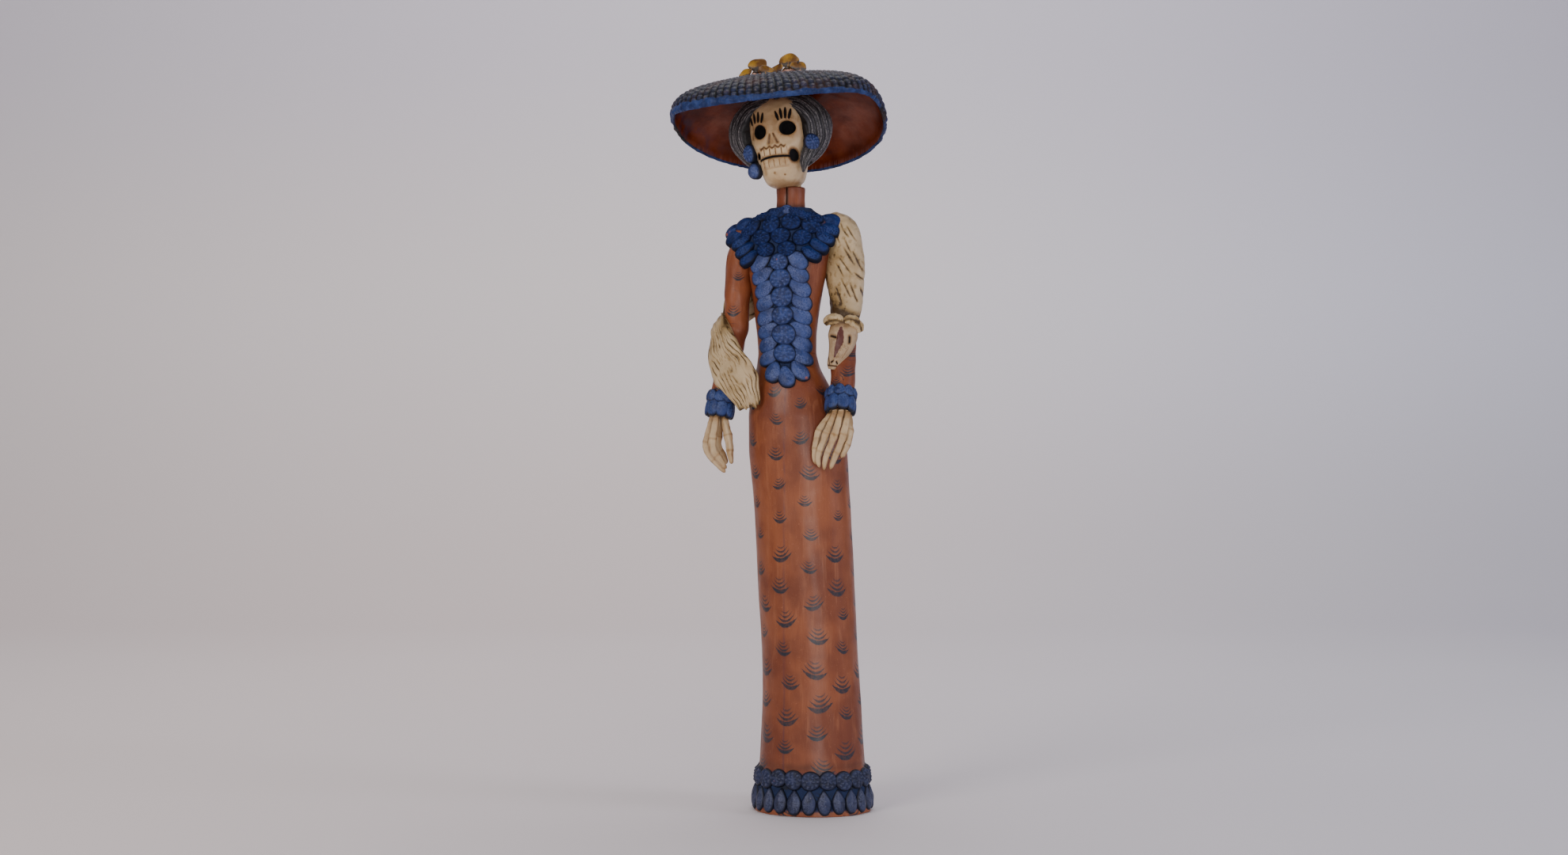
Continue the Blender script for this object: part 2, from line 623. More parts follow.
def weave_paint():
    """Blue-black weave with dusty ridges, patches of red-brown, and a blue band at the rim."""
    paint = Paint("hat_weave_paint")
    ridge = paint.value("ridge")
    band = paint.value("band")
    fine = paint.noise(750.0, 4.0, 0.65)
    patch = paint.noise(70.0, 3.0, 0.6)
    base = paint.mix(paint.between(ridge, 0.15, 0.8), (0.003, 0.002, 0.003), (0.017, 0.020, 0.040))
    base = paint.mix(paint.between(patch, 0.46, 0.66, 0.0, 0.6), base, (0.060, 0.026, 0.020))
    blue = paint.between(paint.value("low"), 0.35, 1.0)
    blue = paint.math("MULTIPLY", blue, paint.between(ridge, 0.2, 0.9))
    base = paint.mix(paint.math("MULTIPLY", blue, 0.45), base, (0.016, 0.030, 0.105))
    dust = paint.math("MULTIPLY", paint.between(ridge, 0.6, 0.98), paint.between(fine, 0.45, 0.7))
    base = paint.mix(paint.math("MULTIPLY", dust, 0.6), base, (0.20, 0.165, 0.155))
    rim = paint.between(paint.noise(160.0, 4.0), 0.35, 0.7)
    rim = paint.mix(rim, (0.010, 0.020, 0.080), (0.028, 0.054, 0.180))
    rim = paint.mix(paint.between(fine, 0.62, 0.75, 0.0, 0.5), rim, (0.20, 0.14, 0.17))
    base = paint.mix(paint.between(band, 0.35, 0.65), base, rim)
    rough = paint.between(fine, 0.3, 0.7, 0.36, 0.55)
    return paint.finish(base, rough, fine, 0.0002, gleam=0.2)


def underside_paint():
    """Glossy red-brown inside the hat, faded pink in one band and bluish near one edge."""
    paint = Paint("hat_underside_paint")
    broad = paint.noise(38.0, 4.0, 0.6)
    fine = paint.noise(420.0, 3.0)
    base = paint.mix(paint.between(broad, 0.36, 0.66), (0.062, 0.0065, 0.002), (0.155, 0.024, 0.005))
    base = paint.mix(paint.between(fine, 0.56, 0.8, 0.0, 0.4), base, (0.24, 0.050, 0.016))
    faded = paint.between(paint.noise(85.0, 4.0, 0.6), 0.3, 0.7, 0.25, 0.75)
    faded = paint.math("MULTIPLY", paint.value("band"), faded)
    base = paint.mix(faded, base, (0.28, 0.100, 0.068))
    blue = paint.math("MULTIPLY", paint.value("low"), paint.between(paint.noise(110.0, 3.0), 0.42, 0.6))
    base = paint.mix(blue, base, (0.030, 0.030, 0.060))
    rough = paint.between(paint.noise(60.0, 3.0), 0.3, 0.7, 0.28, 0.42)
    return paint.finish(base, rough, paint.math("ADD", broad, paint.math("MULTIPLY", fine, 0.25)), 0.0006,
                        coat=0.1, coat_rough=0.2, gleam=0.05)


def flower_paint():
    """Ochre petals, pinkish below, with dark strokes from the foot."""
    paint = Paint("hat_flower_paint")
    patch = paint.noise(110.0, 3.0)
    fine = paint.noise(900.0, 3.0)
    base = paint.mix(paint.between(patch, 0.38, 0.62), (0.115, 0.045, 0.007), (0.36, 0.185, 0.012))
    base = paint.mix(paint.between(paint.value("pink"), 0.2, 0.9), base, (0.42, 0.20, 0.13))
    base = paint.mix(paint.between(fine, 0.62, 0.8, 0.0, 0.3), base, (0.44, 0.28, 0.10))
    base = paint.mix(paint.between(paint.value("black"), 0.25, 0.8, 0.0, 0.93), base, (0.022, 0.014, 0.012))
    return paint.finish(base, paint.between(fine, 0.3, 0.7, 0.42, 0.6), fine, 0.0002, gleam=0.2)


def plain_paint(name, dark, light, scale, rough, metal=0.0, stretch=None):
    """Wood, board or wire for the hidden pieces."""
    paint = Paint(name)
    grain = paint.noise(scale, 4.0, 0.6, 0.6, stretch)
    paint.shader.inputs["Metallic"].default_value = metal
    base = paint.mix(paint.between(grain, 0.3, 0.7), dark, light)
    return paint.finish(base, paint.between(grain, 0.2, 0.8, rough, rough + 0.15), grain, 0.0002)


FUR_COLOURS = ((0.55, 0.415, 0.25), (0.25, 0.150, 0.046), (0.050, 0.024, 0.008))
MUZZLE_COLOURS = ((0.47, 0.335, 0.205), (0.22, 0.120, 0.050), (0.045, 0.019, 0.008))
DRESS_PAINT = dress_paint("dress_paint", True)
SLEEVE_PAINT = dress_paint("sleeve_paint", False)
BLUE = petal_paint("petal_paint", (0.014, 0.025, 0.098), (0.029, 0.055, 0.200), (0.085, 0.115, 0.270))
YOKE_BLUE = petal_paint("yoke_paint", (0.003, 0.008, 0.042), (0.010, 0.023, 0.110), (0.028, 0.054, 0.190),
                        grit=0.2, gleam=0.1, coat=0.02)
CUFF_BLUE = petal_paint("cuff_paint", (0.008, 0.017, 0.078), (0.019, 0.040, 0.160), (0.052, 0.085, 0.230),
                        grit=0.6)
HEM_BLUE = petal_paint("hem_paint", (0.010, 0.013, 0.034), (0.024, 0.033, 0.090), (0.075, 0.085, 0.155),
                       grit=1.4)
BONE = bone_paint("bone_paint")
FUR = bone_paint("fur_paint", *FUR_COLOURS)
FUR_CHIPPED = bone_paint("fur_head_paint", *MUZZLE_COLOURS, chipped=True)
HAIR = hair_paint()
WEAVE = weave_paint()
UNDERSIDE = underside_paint()
FLOWER = flower_paint()


# ---------------------------------------------------------------- dress, neck and sleeves

def wall(shape, outer, inner, **values):
    """A shell: outer rows upward, inner rows back down, joined at both edges."""
    loop = np.concatenate((outer, inner[::-1], outer[:1]))
    for name in values:
        values[name] = np.concatenate((values[name], values[name][::-1], values[name][:1]))
    rows, columns = loop.shape[:2]
    faces = []
    for row in range(rows - 1):
        low = row * columns
        high = ((row + 1) % (rows - 1)) * columns
        for column in range(columns):
            after = (column + 1) % columns
            faces.append((low + column, low + after, high + after, high + column))
    flat = {name: value[:-1].reshape(-1) for name, value in values.items()}
    shape.add(loop[:-1].reshape(-1, 3), faces, **flat)


# The blue ground under the bodice's trim: heights with its middle in X, heights with its half width
APRON_MIDDLE = ((285.0, 302.0, 362.0), (-12.8, -14.4, -18.0))
APRON_HALF = ((280.0, 284.0, 292.0, 300.0, 362.0, 368.0, 376.0, 392.0, 396.0),
              (0.0, 5.0, 11.5, 14.0, 17.5, 21.0, 26.0, 30.0, 30.0))


def dress_shell(name, low, high, step, stands_for):
    """One length of the dress between two heights: a thin uneven wall with a rolled lip at the floor."""
    heights = np.arange(low, high + step / 2, step)
    heights[-1] = high
    angle, height = np.meshgrid(turns(180) + math.pi / 2, heights)
    flat, normal = dress_point(angle, height)
    uneven = 0.32 * wobble(flat, 46.0, 3) + 0.12 * wobble(flat * (1, 1, 0.4), 13.0, 5)
    lip = 0.5 * bell(height, 1.2, 2.2) * (1 + 0.8 * wobble(flat, 17.0, 8))
    outer = flat + normal * (uneven + lip)[..., None]
    inner = dress_point(angle, height, -DRESS_WALL)[0]
    for points in (outer, inner):
        points[0, :, 2] = low
        points[-1, :, 2] = high
    grime = 0.55 * bell(height, 31.5, 2.5) * (0.7 + 0.3 * wobble(flat, 12.0, 4))
    hem = smooth_step(height, 2.6, 4.2) * smooth_step(-height, -29.0, -26.0)
    aside = np.abs(outer[..., 0] - np.interp(height, *APRON_MIDDLE))
    apron = smooth_step(np.interp(height, *APRON_HALF) - aside, -1.0, 1.5) * (np.sin(angle) < 0.1)
    shape = Shape("side_x", "side_y", "height", "grime", "under")
    wall(shape, outer, inner, side_x=np.cos(angle), side_y=np.sin(angle), height=height, grime=grime,
         under=np.maximum(hem, apron))
    make(name, shape, [DRESS_PAINT], "figure", stands_for)


# An offset from the nearest brush mark that none of its strokes reaches
NO_MARK = 40.0


def neck_tube():
    """The slit tube of the neck, its mouth rounded over."""
    half_slit = 0.4 / NECK_RADIUS
    angles = np.linspace(half_slit, TAU - half_slit, 90) - math.pi / 2 - 0.06
    lip, mouth, foot = 1.1, NECK_TOP - 1.2, NECK_BOTTOM + 0.2
    outline = [(NECK_RADIUS, z) for z in np.linspace(foot, mouth, 34)]
    outline += [(NECK_RADIUS - lip + lip * math.cos(a), mouth + lip * math.sin(a))
                for a in np.linspace(0.2, math.pi * 0.9, 8)]
    outline += [(NECK_BORE, z) for z in np.linspace(mouth - 0.2, foot, 16)]
    radius, level = (column[:, None] for column in np.array(outline).T)
    spoke = np.stack((np.cos(angles), np.sin(angles), np.zeros(len(angles))), axis=-1)
    rows = NECK + radius[..., None] * spoke + level[..., None] * (0, 0, 1)
    outside = (radius > 8.6)[..., None]
    rows = rows + outside * spoke * (0.22 * wobble(rows, 11.0, 12) - 0.1)[..., None]
    count, columns = rows.shape[:2]
    edge = np.minimum(np.arange(columns), np.arange(columns)[::-1])
    grime = np.clip(1.2 - edge / 1.6, 0, 1) + 0.8 * bell(rows[..., 2], NECK_TOP, 0.9)
    grime = grime + (radius < 8.0) * 0.7 + 0.8 * bell(rows[..., 2], 399.0, 1.6)
    faces = []
    for row in range(count):
        for column in range(columns - 1):
            after = (row + 1) % count
            faces.append((row * columns + column, row * columns + column + 1,
                          after * columns + column + 1, after * columns + column))
    faces.append(tuple(row * columns for row in range(count)))
    faces.append(tuple(row * columns + columns - 1 for row in reversed(range(count))))
    shape = Shape("grime", "under", "aside", "above")
    shape.add(rows, faces, grime=np.clip(grime, 0, 1), aside=NO_MARK, above=NO_MARK)
    make("neck", shape, [SLEEVE_PAINT], "figure", ["neck_tube"])


def frames_along(path):
    """Two cross directions that don't twist along a path."""
    tangent = unit(np.gradient(path, axis=0))
    across = np.cross(tangent[0], (0.0, -1.0, 0.0))
    side = []
    for direction in tangent:
        across = unit(across - direction * (across @ direction))
        side.append(across)
    side = np.array(side)
    return side, np.cross(tangent, side)


def tube_rows(table, count, around, radius_of=None, squash=1.0):
    """Rows of points round a path, their outward directions and angles: a table of x, y, z and radius."""
    samples = spline(table, count)
    side, front = frames_along(samples[:, :3])
    angle = turns(around)
    radius = samples[:, 3][:, None] * np.ones(around)
    if radius_of is not None:
        radius = radius_of(radius, np.linspace(0, 1, count)[:, None], angle[None, :])
    spoke = (side[:, None, :] * np.cos(angle)[None, :, None]
             + front[:, None, :] * np.sin(angle)[None, :, None] * squash)
    return samples[:, None, :3] + spoke * radius[..., None], spoke, angle


def wrist_of(arm):
    """Where an arm's path ends, the direction it ends in and its radius there."""
    before, end = np.array(arm[-2]), np.array(arm[-1])
    return end[:3], unit(end[:3] - before[:3]), end[3]


# Brush marks on the sleeves: x, height, and how many times smaller than on the skirt
SLEEVE_MARKS = {
    "right": ((-50.6, 331.0, 1.25), (-52.8, 315.0, 1.6), (-47.6, 354.0, 1.6), (-57.6, 281.0, 1.5)),
    "left": ((29.0, 303.0, 1.5), (27.6, 290.5, 1.3), (20.4, 284.0, 1.6))}


def sleeve(side, arm):
    """A sleeve pressed to the shoulder and hip, open at the wrist with a ragged lip."""
    wrist, direction, radius = wrist_of(arm)
    points, spoke, angle = tube_rows([*arm, (*(wrist + direction * 5.2), radius + 0.9)], 150, 56)
    part = np.linspace(0, 1, 150)[:, None]
    folds = 0.35 * np.sin(9 * part * TAU + 2.2 * np.cos(angle)) * bell(part, 0.52, 0.1)
    uneven = 0.34 * wobble(points, 24.0, 21) + 0.14 * wobble(points, 7.0, 22)
    points = points + spoke * (uneven + folds)[..., None]
    points[-1] += direction * (0.5 * wobble(points[-1], 6.0, 23))[:, None]
    middle = points[-1].mean(axis=0)
    inner = [middle + (points[-1] - middle) * scale - direction * depth
             for scale, depth in ((0.86, 0.2), (0.8, 2.0), (0.74, 4.6))]
    shoulder, below = (np.array(row[:3]) for row in arm[:2])
    start = shoulder - (below - shoulder) * 0.18
    first = [start + (points[0] - shoulder) * scale for scale in (0.45, 0.85)]
    points = np.concatenate((first, points, inner))
    part = lengthwise(len(points), 56)
    reach = np.abs(points[..., 0] - NECK[0])
    front = points[..., 1] - points[..., 1].mean(axis=1, keepdims=True)
    grime = 0.7 * smooth_step(part, 0.985, 1.0)
    grime = grime + 0.5 * bell(part, 0.02, 0.05) + 0.55 * smooth_step(-reach, -26.0, -20.0)
    aside = np.full(part.shape, NO_MARK)
    above = np.full(part.shape, NO_MARK)
    for x, z, size in SLEEVE_MARKS[side]:
        to_side = (points[..., 0] - x) * size
        up = (points[..., 2] - z) * size
        nearest = (np.hypot(to_side, up) < np.hypot(aside, above)) & (front < 0)
        aside = np.where(nearest, to_side, aside)
        above = np.where(nearest, up, above)
    one_grid(f"{side}_arm", f"{side}_sleeve", points, SLEEVE_PAINT, "painted_dress",
             grime=np.clip(grime, 0, 1), under=0.0, aside=aside, above=above)


# ---------------------------------------------------------------- pressed trim

def trim(name, node, paint, build):
    """Makes a piece of the pads that build presses onto an empty shape."""
    shape = Shape("rho", "worn")
    build(shape)
    make(name, shape, [paint], "figure", [node], sharp=62)


def hem_rows():
    """Round rosettes over long petals, all the way round the hem."""
    draw = np.random.RandomState(5)

    def petals(shape):
        for index in range(24):
            angle = TAU * (index + 0.5) / 24
            patch = dress_patch(0, 9.4 + draw.uniform(-0.4, 0.3), draw.uniform(-0.05, 0.05), angle)
            half = draw.uniform(4.7, 5.1)
            pad(shape, patch, leaf_outline(half, 8.4, 0.62), petal_relief(2.5, draw, 0.3, 0.35))

    def rosettes(shape):
        for index in range(20):
            angle = TAU * (index + 0.5) / 20
            patch = dress_patch(0, 23.4 + draw.uniform(-0.8, 0.8), 0.0, angle)
            size = draw.uniform(6.3, 6.9)
            rosette(shape, patch, size, size * 0.97, 2.9, draw, 16, 52)
    trim("hem_petals", "hem_petal_row", HEM_BLUE, petals)
    trim("hem_rosettes", "hem_rosette_row", HEM_BLUE, rosettes)


# Rosettes down the bodice: x, height, half size
COLUMN_ROSETTES = ((-18.0, 362.4, 6.4), (-17.2, 351.4, 7.3), (-16.2, 339.2, 7.7), (-16.0, 327.0, 7.2),
                   (-15.1, 314.4, 8.0), (-14.6, 301.8, 7.4))
# Rosettes on the yoke: x, height, half width, half height
YOKE_ROSETTES = (
    (-27.6, 370.6, 6.8, 5.2), (-13.2, 371.0, 6.8, 5.2), (-30.6, 378.6, 7.0, 5.4),
    (-17.4, 379.4, 6.8, 5.6), (-3.2, 378.2, 7.0, 5.4), (-37.6, 385.4, 6.0, 5.4),
    (-24.0, 386.6, 6.8, 5.4), (-10.4, 387.8, 6.8, 5.4), (2.8, 385.6, 6.6, 5.2),
    (-42.4, 380.4, 4.8, 4.6), (9.4, 381.0, 4.8, 4.6))
# Small rosettes under the collar: x, height
COLLAR_ROSETTES = ((-33.0, 391.0), (-25.4, 392.6), (-18.6, 393.6), (-8.2, 393.6), (-1.8, 391.8), (5.0, 390.6))
# Petals beside the column, from the top: x, height
LEFT_PETALS = ((-6.2, 363.6), (-6.0, 354.6), (-5.0, 345.4), (-4.6, 336.4), (-4.6, 327.2), (-4.8, 317.8),
               (-4.8, 308.8), (-5.0, 300.0))
RIGHT_PETALS = ((-31.6, 362.0), (-30.2, 353.6), (-28.2, 344.8), (-27.0, 335.8), (-26.6, 326.6),
                (-26.2, 317.4), (-25.2, 308.6), (-24.4, 299.8))
# Petals at the bodice's point: x, height, turn
POINT_PETALS = ((-5.0, 290.4, 0.45), (-21.4, 289.6, -0.35), (-12.8, 286.4, 0.05))
# Petals over each shoulder: x, y, height, turn in degrees
SHOULDER_LEAVES = {
    "right": ((-51.6, -3.6, 384.8, -70), (-50.6, -7.4, 380.0, -62), (-46.0, -10.6, 377.0, -58),
              (-42.8, -13.0, 371.6, -56), (-39.4, -14.6, 366.0, -54), (-44.0, -6.6, 388.6, -75)),
    "left": ((14.4, -6.8, 390.0, 72), (13.6, -9.8, 384.4, 62), (10.8, -12.2, 379.0, 58),
             (7.2, -14.2, 373.6, 56), (2.6, -16.0, 368.4, 56))}


def bodice():
    """Rosettes and petals down the front, rosettes on the yoke and a button at the collar."""
    draw = np.random.RandomState(9)

    def column(shape):
        for x, height, size in COLUMN_ROSETTES:
            rosette(shape, dress_patch(x, height), size, size * 0.98, 3.9, draw, 18, 56)

    def yoke(shape):
        for x, height, half_across, half_along in YOKE_ROSETTES:
            patch = dress_patch(x, height, draw.uniform(-0.15, 0.15))
            rosette(shape, patch, half_across, half_along, 2.7, draw, 15, 48)
        for x, height in COLLAR_ROSETTES:
            rosette(shape, dress_patch(x, height), 5.2, 3.6, 2.0, draw, 12, 40)

    def petals(spots, turn):
        def build(shape):
            for x, height in spots:
                patch = dress_patch(x, height, turn + draw.uniform(-0.1, 0.1))
                outline = leaf_outline(draw.uniform(5.3, 5.8), draw.uniform(9.0, 9.7), 0.45)
                pad(shape, patch, outline, petal_relief(1.6, draw, 0.9, 0.12), 12, 40)
        return build

    def point(shape):
        for x, height, turn in POINT_PETALS:
            relief = petal_relief(2.8, draw, 0.6, 0.2)
            pad(shape, dress_patch(x, height, turn), leaf_outline(6.0, 7.8, 0.4), relief, 13, 44)

    def shoulder(spots, lean):
        def build(shape):
            for x, y, z, degrees in spots:
                turn = math.radians(degrees)
                up = (-math.sin(turn), 0.0, math.cos(turn))
                patch = plane_patch((x, y, z), (lean, -1.0, 0.5), up, 18.0)
                relief = petal_relief(1.5, draw, 0.5, 0.35)
                pad(shape, patch, leaf_outline(5.2, 8.4, 0.5), relief, 11, 36, 2.4)
        return build

    def collar(shape):
        patch = plane_patch(NECK + (-0.4, -12.0, 396.6), (0.0, -1.0, 0.45), (0, 0.3, 1.0), 20.0)
        pad(shape, patch, uneven_outline(4.3, 3.9, draw), petal_relief(1.5, draw), 10, 34, 1.4)

    slant = math.radians(58)
    trim("bodice_side_petals_left", "left_bodice_petals", BLUE, petals(LEFT_PETALS, slant))
    trim("bodice_side_petals_right", "right_bodice_petals", BLUE, petals(RIGHT_PETALS, -slant))
    trim("bodice_point", "bodice_point_petals", BLUE, point)
    trim("bodice_rosettes", "bodice_rosette_column", BLUE, column)
    trim("yoke_flowers", "yoke_rosettes", YOKE_BLUE, yoke)
    for side, lean in (("right", -0.38), ("left", 0.24)):
        leaves = shoulder(SHOULDER_LEAVES[side], lean)
        trim(f"{side}_shoulder_leaves", f"{side}_shoulder_petals", YOKE_BLUE, leaves)
    trim("collar_button", "collar_disc", BLUE, collar)


# Rows of cuff petals: how many, distance back from the wrist, half width, half length, thickness, turn
CUFF_ROWS = {"lower": (8, 0.0, 4.5, 6.8, 1.8, 0.0), "upper": (9, 7.2, 3.7, 4.4, 2.2, 0.25)}


def cuffs():
    """Two overlapping rings of petals at each wrist."""
    draw = np.random.RandomState(17)

    def ring(arm, count, back, half, long, thick, turn):
        wrist, direction, radius = wrist_of(arm)

        def build(shape):
            for angle in TAU * (np.arange(count) + 0.5) / count + turn:
                patch = ring_patch(wrist - direction * back, -direction, radius + 0.3, angle)
                outline = leaf_outline(half + draw.uniform(-0.2, 0.3), long, 0.35)
                pad(shape, patch, outline, petal_relief(thick, draw, 0.5, 0.1), 11, 34)
        return build

    for side, arm in (("right", RIGHT_ARM), ("left", LEFT_ARM)):
        for name, row in CUFF_ROWS.items():
            trim(f"{side}_cuff_{name}", f"{side}_cuff_{name}_petals", CUFF_BLUE, ring(arm, *row))


# ---------------------------------------------------------------- hands

# Fingers from the cuff to the tip: four points each
HANDS = {
    "right": {
        "outer_finger": ((-63.4, -18.0, 259.6), (-67.2, -20.2, 240.0), (-60.6, -19.6, 230.0),
                         (-53.6, -21.8, 223.4)),
        "second_finger": ((-60.2, -21.6, 259.6), (-61.8, -25.4, 241.0), (-57.0, -25.2, 232.0),
                          (-52.0, -25.4, 226.0)),
        "inner_finger": ((-58.6, -14.4, 259.6), (-60.6, -15.4, 242.0), (-56.6, -15.6, 234.0),
                         (-54.0, -17.4, 229.0)),
        "thumb": ((-55.4, -18.4, 259.6), (-51.6, -20.4, 244.0), (-50.6, -21.2, 236.0),
                  (-49.4, -21.6, 229.0))},
    "left": {
        "thumb": ((17.8, -20.6, 262.0), (10.6, -25.6, 250.0), (8.2, -28.2, 236.0), (9.0, -28.8, 229.0)),
        "index_finger": ((21.0, -25.6, 262.0), (15.6, -30.2, 247.0), (11.6, -32.4, 235.0),
                         (12.0, -32.8, 227.0)),
        "middle_finger": ((25.2, -26.6, 262.0), (21.6, -32.2, 247.0), (17.0, -35.6, 234.0),
                          (16.0, -36.6, 225.6)),
        "ring_finger": ((28.8, -23.4, 262.0), (27.0, -30.2, 247.0), (22.6, -34.6, 234.0),
                        (20.2, -37.2, 226.0)),
        "little_finger": ((28.6, -18.4, 262.0), (30.4, -26.0, 248.0), (28.8, -30.6, 239.0),
                          (26.8, -33.4, 233.4))}}
FINGER_RADII = (2.2, 2.5, 2.0, 1.3)


def finger(side, name, path, seed):
    """A rolled strip with two knuckles, a squarish section and a rounded tip."""
    table = [(*point, radius) for point, radius in zip(path, FINGER_RADII)]
    root = np.array(table[0]) + (0, 0, 3.0, -0.4)

    def knuckled(radius, part, angle):
        square = 1 + 0.12 * np.cos(4 * angle + seed + 2.0 * part)
        joint = 1 + 0.12 * bell(part, 0.44, 0.06) + 0.08 * bell(part, 0.74, 0.05)
        joint = joint - 0.07 * bell(part, 0.58, 0.07)
        tip = np.sqrt(np.clip(1 - ((part - 0.94) / 0.06).clip(0, 1) ** 2, 0.02, 1))
        return radius * square * joint * tip
    points, spoke, angle = tube_rows([root, *table], 90, 22, knuckled)
    points = points + spoke * (0.10 * wobble(points, 4.0, seed))[..., None]
    part = lengthwise(90, 22)
    stain = 0.6 * bell(part, 0.08, 0.08) + 0.4 * bell(part, 0.44, 0.02) + 0.35 * bell(part, 0.74, 0.02)
    stain = stain + 0.42 * np.abs(np.cos(angle)) ** 6 + 0.35 * smooth_step(part, 0.93, 1.0)
    stain = stain + 0.3 * smooth_step(wobble(points * (1, 1, 0.35), 5.0, seed + 50), 0.5, 1.6)
    one_grid(f"{side}_hand_{name}", f"{side}_{name}", points, BONE, "painted_bone",
             stain=np.clip(stain, 0, 1), black=0.0)


def hands():
    seed = 41
    for side, fingers in HANDS.items():
        for name, path in fingers.items():
            finger(side, name, path, seed)
            seed += 1


# ---------------------------------------------------------------- stole

def band_rows(table, count, around):
    """Rows round a soft strap: x, y, z, half width, half thickness and its flat side's direction."""
    samples = spline(table, count)
    tangent = unit(np.gradient(samples[:, :3], axis=0))
    across = unit(np.cross(tangent, samples[:, 5:8]))
    flat = np.cross(across, tangent)
    angle = turns(around)
    cross = np.sign(np.cos(angle)) * np.abs(np.cos(angle)) ** 0.8
    thick = np.sign(np.sin(angle)) * np.abs(np.sin(angle)) ** 0.7
    points = (samples[:, None, :3] + across[:, None, :] * cross[None, :, None] * samples[:, 3][:, None, None]
              + flat[:, None, :] * thick[None, :, None] * samples[:, 4][:, None, None])
    return points, across, flat, cross, thick


def fur_band(name, node, table, seed, pleats, end_fringe=0.0, around=150, pleat_depth=0.5, facets=1.0):
    """A length of the stole: pleated along its length, its lower end cut ragged."""
    points, across, flat, cross, thick = band_rows(table, 200, around)
    part = lengthwise(200, around)
    spread = cross + 0.14 * wobble(points, 40.0, seed) + 0.03 * wobble(points, 9.0, seed + 1)
    wave = np.sin(spread * pleats * math.pi + 0.9 * np.sin(5 * part + seed))
    fine = np.sin(spread * pleats * 3.3 * math.pi + 3 * wobble(points, 25.0, seed + 2))
    groove = np.clip(1 - np.abs(wave), 0, 1) ** 3 * smooth_step(wobble(points, 17.0, seed + 6), -0.9, 0.5)
    scratch = np.clip(-fine - 0.45, 0, 1) * smooth_step(wobble(points, 9.0, seed + 3), -0.2, 0.5)
    side = np.sign(thick) * np.clip(np.abs(thick) * 2.0, 0, 1)
    rise = side * (0.27 * wave - pleat_depth * groove - 0.3 * scratch)
    points = points + flat[:, None, :] * rise[..., None]
    points = points + flat[:, None, :] * (facets * wobble(points, 22.0, seed + 4))[..., None]
    shift = 0.8 * wobble(points, 15.0, seed + 7) * np.abs(cross) ** 4
    points = points + across[:, None, :] * shift[..., None]
    ragged = 0.8 * np.sin(spread * 21) + wobble(points, 3.0, seed + 5)
    ragged = ragged * end_fringe * smooth_step(part, 0.9, 1.0)
    points = points + unit(np.gradient(points, axis=0)) * ragged[..., None]
    shaded = 0.75 * smooth_step(wobble(points, 26.0, seed + 8), 0.0, 1.2)
    edges = 0.35 * bell(part, 0.0, 0.05) + 0.5 * bell(part, 1.0, 0.02) + 0.5 * np.abs(cross) ** 14
    stain = np.clip(1.1 * groove + 0.95 * scratch + shaded + edges, 0, 1)
    one_grid(name, node, points, FUR, "painted_fur", stain=stain, black=0.0)


# The drape over the left arm, from its lower end up: x, y, z, radius
SHOULDER_DRAPE = (
    (20.9, 6.0, 325.6, 9.6), (21.6, 6.6, 334.0, 10.6), (22.0, 6.0, 348.0, 12.2), (21.4, 5.0, 364.0, 13.8),
    (18.6, 3.6, 380.0, 13.4), (15.6, 3.0, 390.5, 9.6), (14.4, 3.0, 395.6, 2.5))
# Dark strokes on its front: x and height of each end
FUR_STROKES = (
    ((21, 388), (23, 383)), ((22, 384), (27, 378)), ((30, 388), (34, 383)), ((24, 377), (28, 368)),
    ((23, 372), (30, 360)), ((29, 369), (35, 356)), ((20, 365), (28, 354)), ((18, 361), (23, 352)),
    ((30, 355), (37, 349)), ((21, 351), (27, 339)), ((27, 348), (31, 336)), ((33, 346), (35, 335)),
    ((17, 382), (21, 374)), ((17, 346), (21, 335)), ((25, 386), (31, 376)))
# The bands across the back and over the right forearm: x, y, z, half width, half thickness, facing
BACK_BAND = (
    (9.0, 16.6, 381.0, 11.0, 3.0, 0.4, 1.0, 0.3), (-8.0, 20.2, 374.0, 15.0, 3.2, 0.0, 1.0, 0.1),
    (-30.0, 19.6, 360.0, 18.0, 3.2, -0.2, 1.0, 0.0), (-46.0, 12.6, 344.0, 17.0, 3.2, -0.8, 1.0, 0.0),
    (-56.0, 2.0, 329.0, 10.0, 3.0, -1.0, 0.2, 0.0), (-60.0, -6.0, 321.0, 7.0, 2.4, -1.0, -0.2, 0.0))
FOREARM_BAND = (
    (-59.4, -3.0, 325.0, 7.0, 2.6, -1.0, -0.2, 0.0), (-60.4, -11.0, 316.0, 10.5, 3.0, -0.8, -0.7, 0.0),
    (-55.4, -18.6, 303.0, 13.6, 3.2, -0.4, -1.0, 0.0), (-47.0, -24.0, 288.4, 15.0, 3.4, -0.2, -1.0, 0.0),
    (-39.6, -24.0, 275.6, 10.4, 3.4, 0.0, -1.0, 0.0), (-37.0, -23.4, 267.0, 8.2, 2.6, 0.0, -1.0, 0.0))


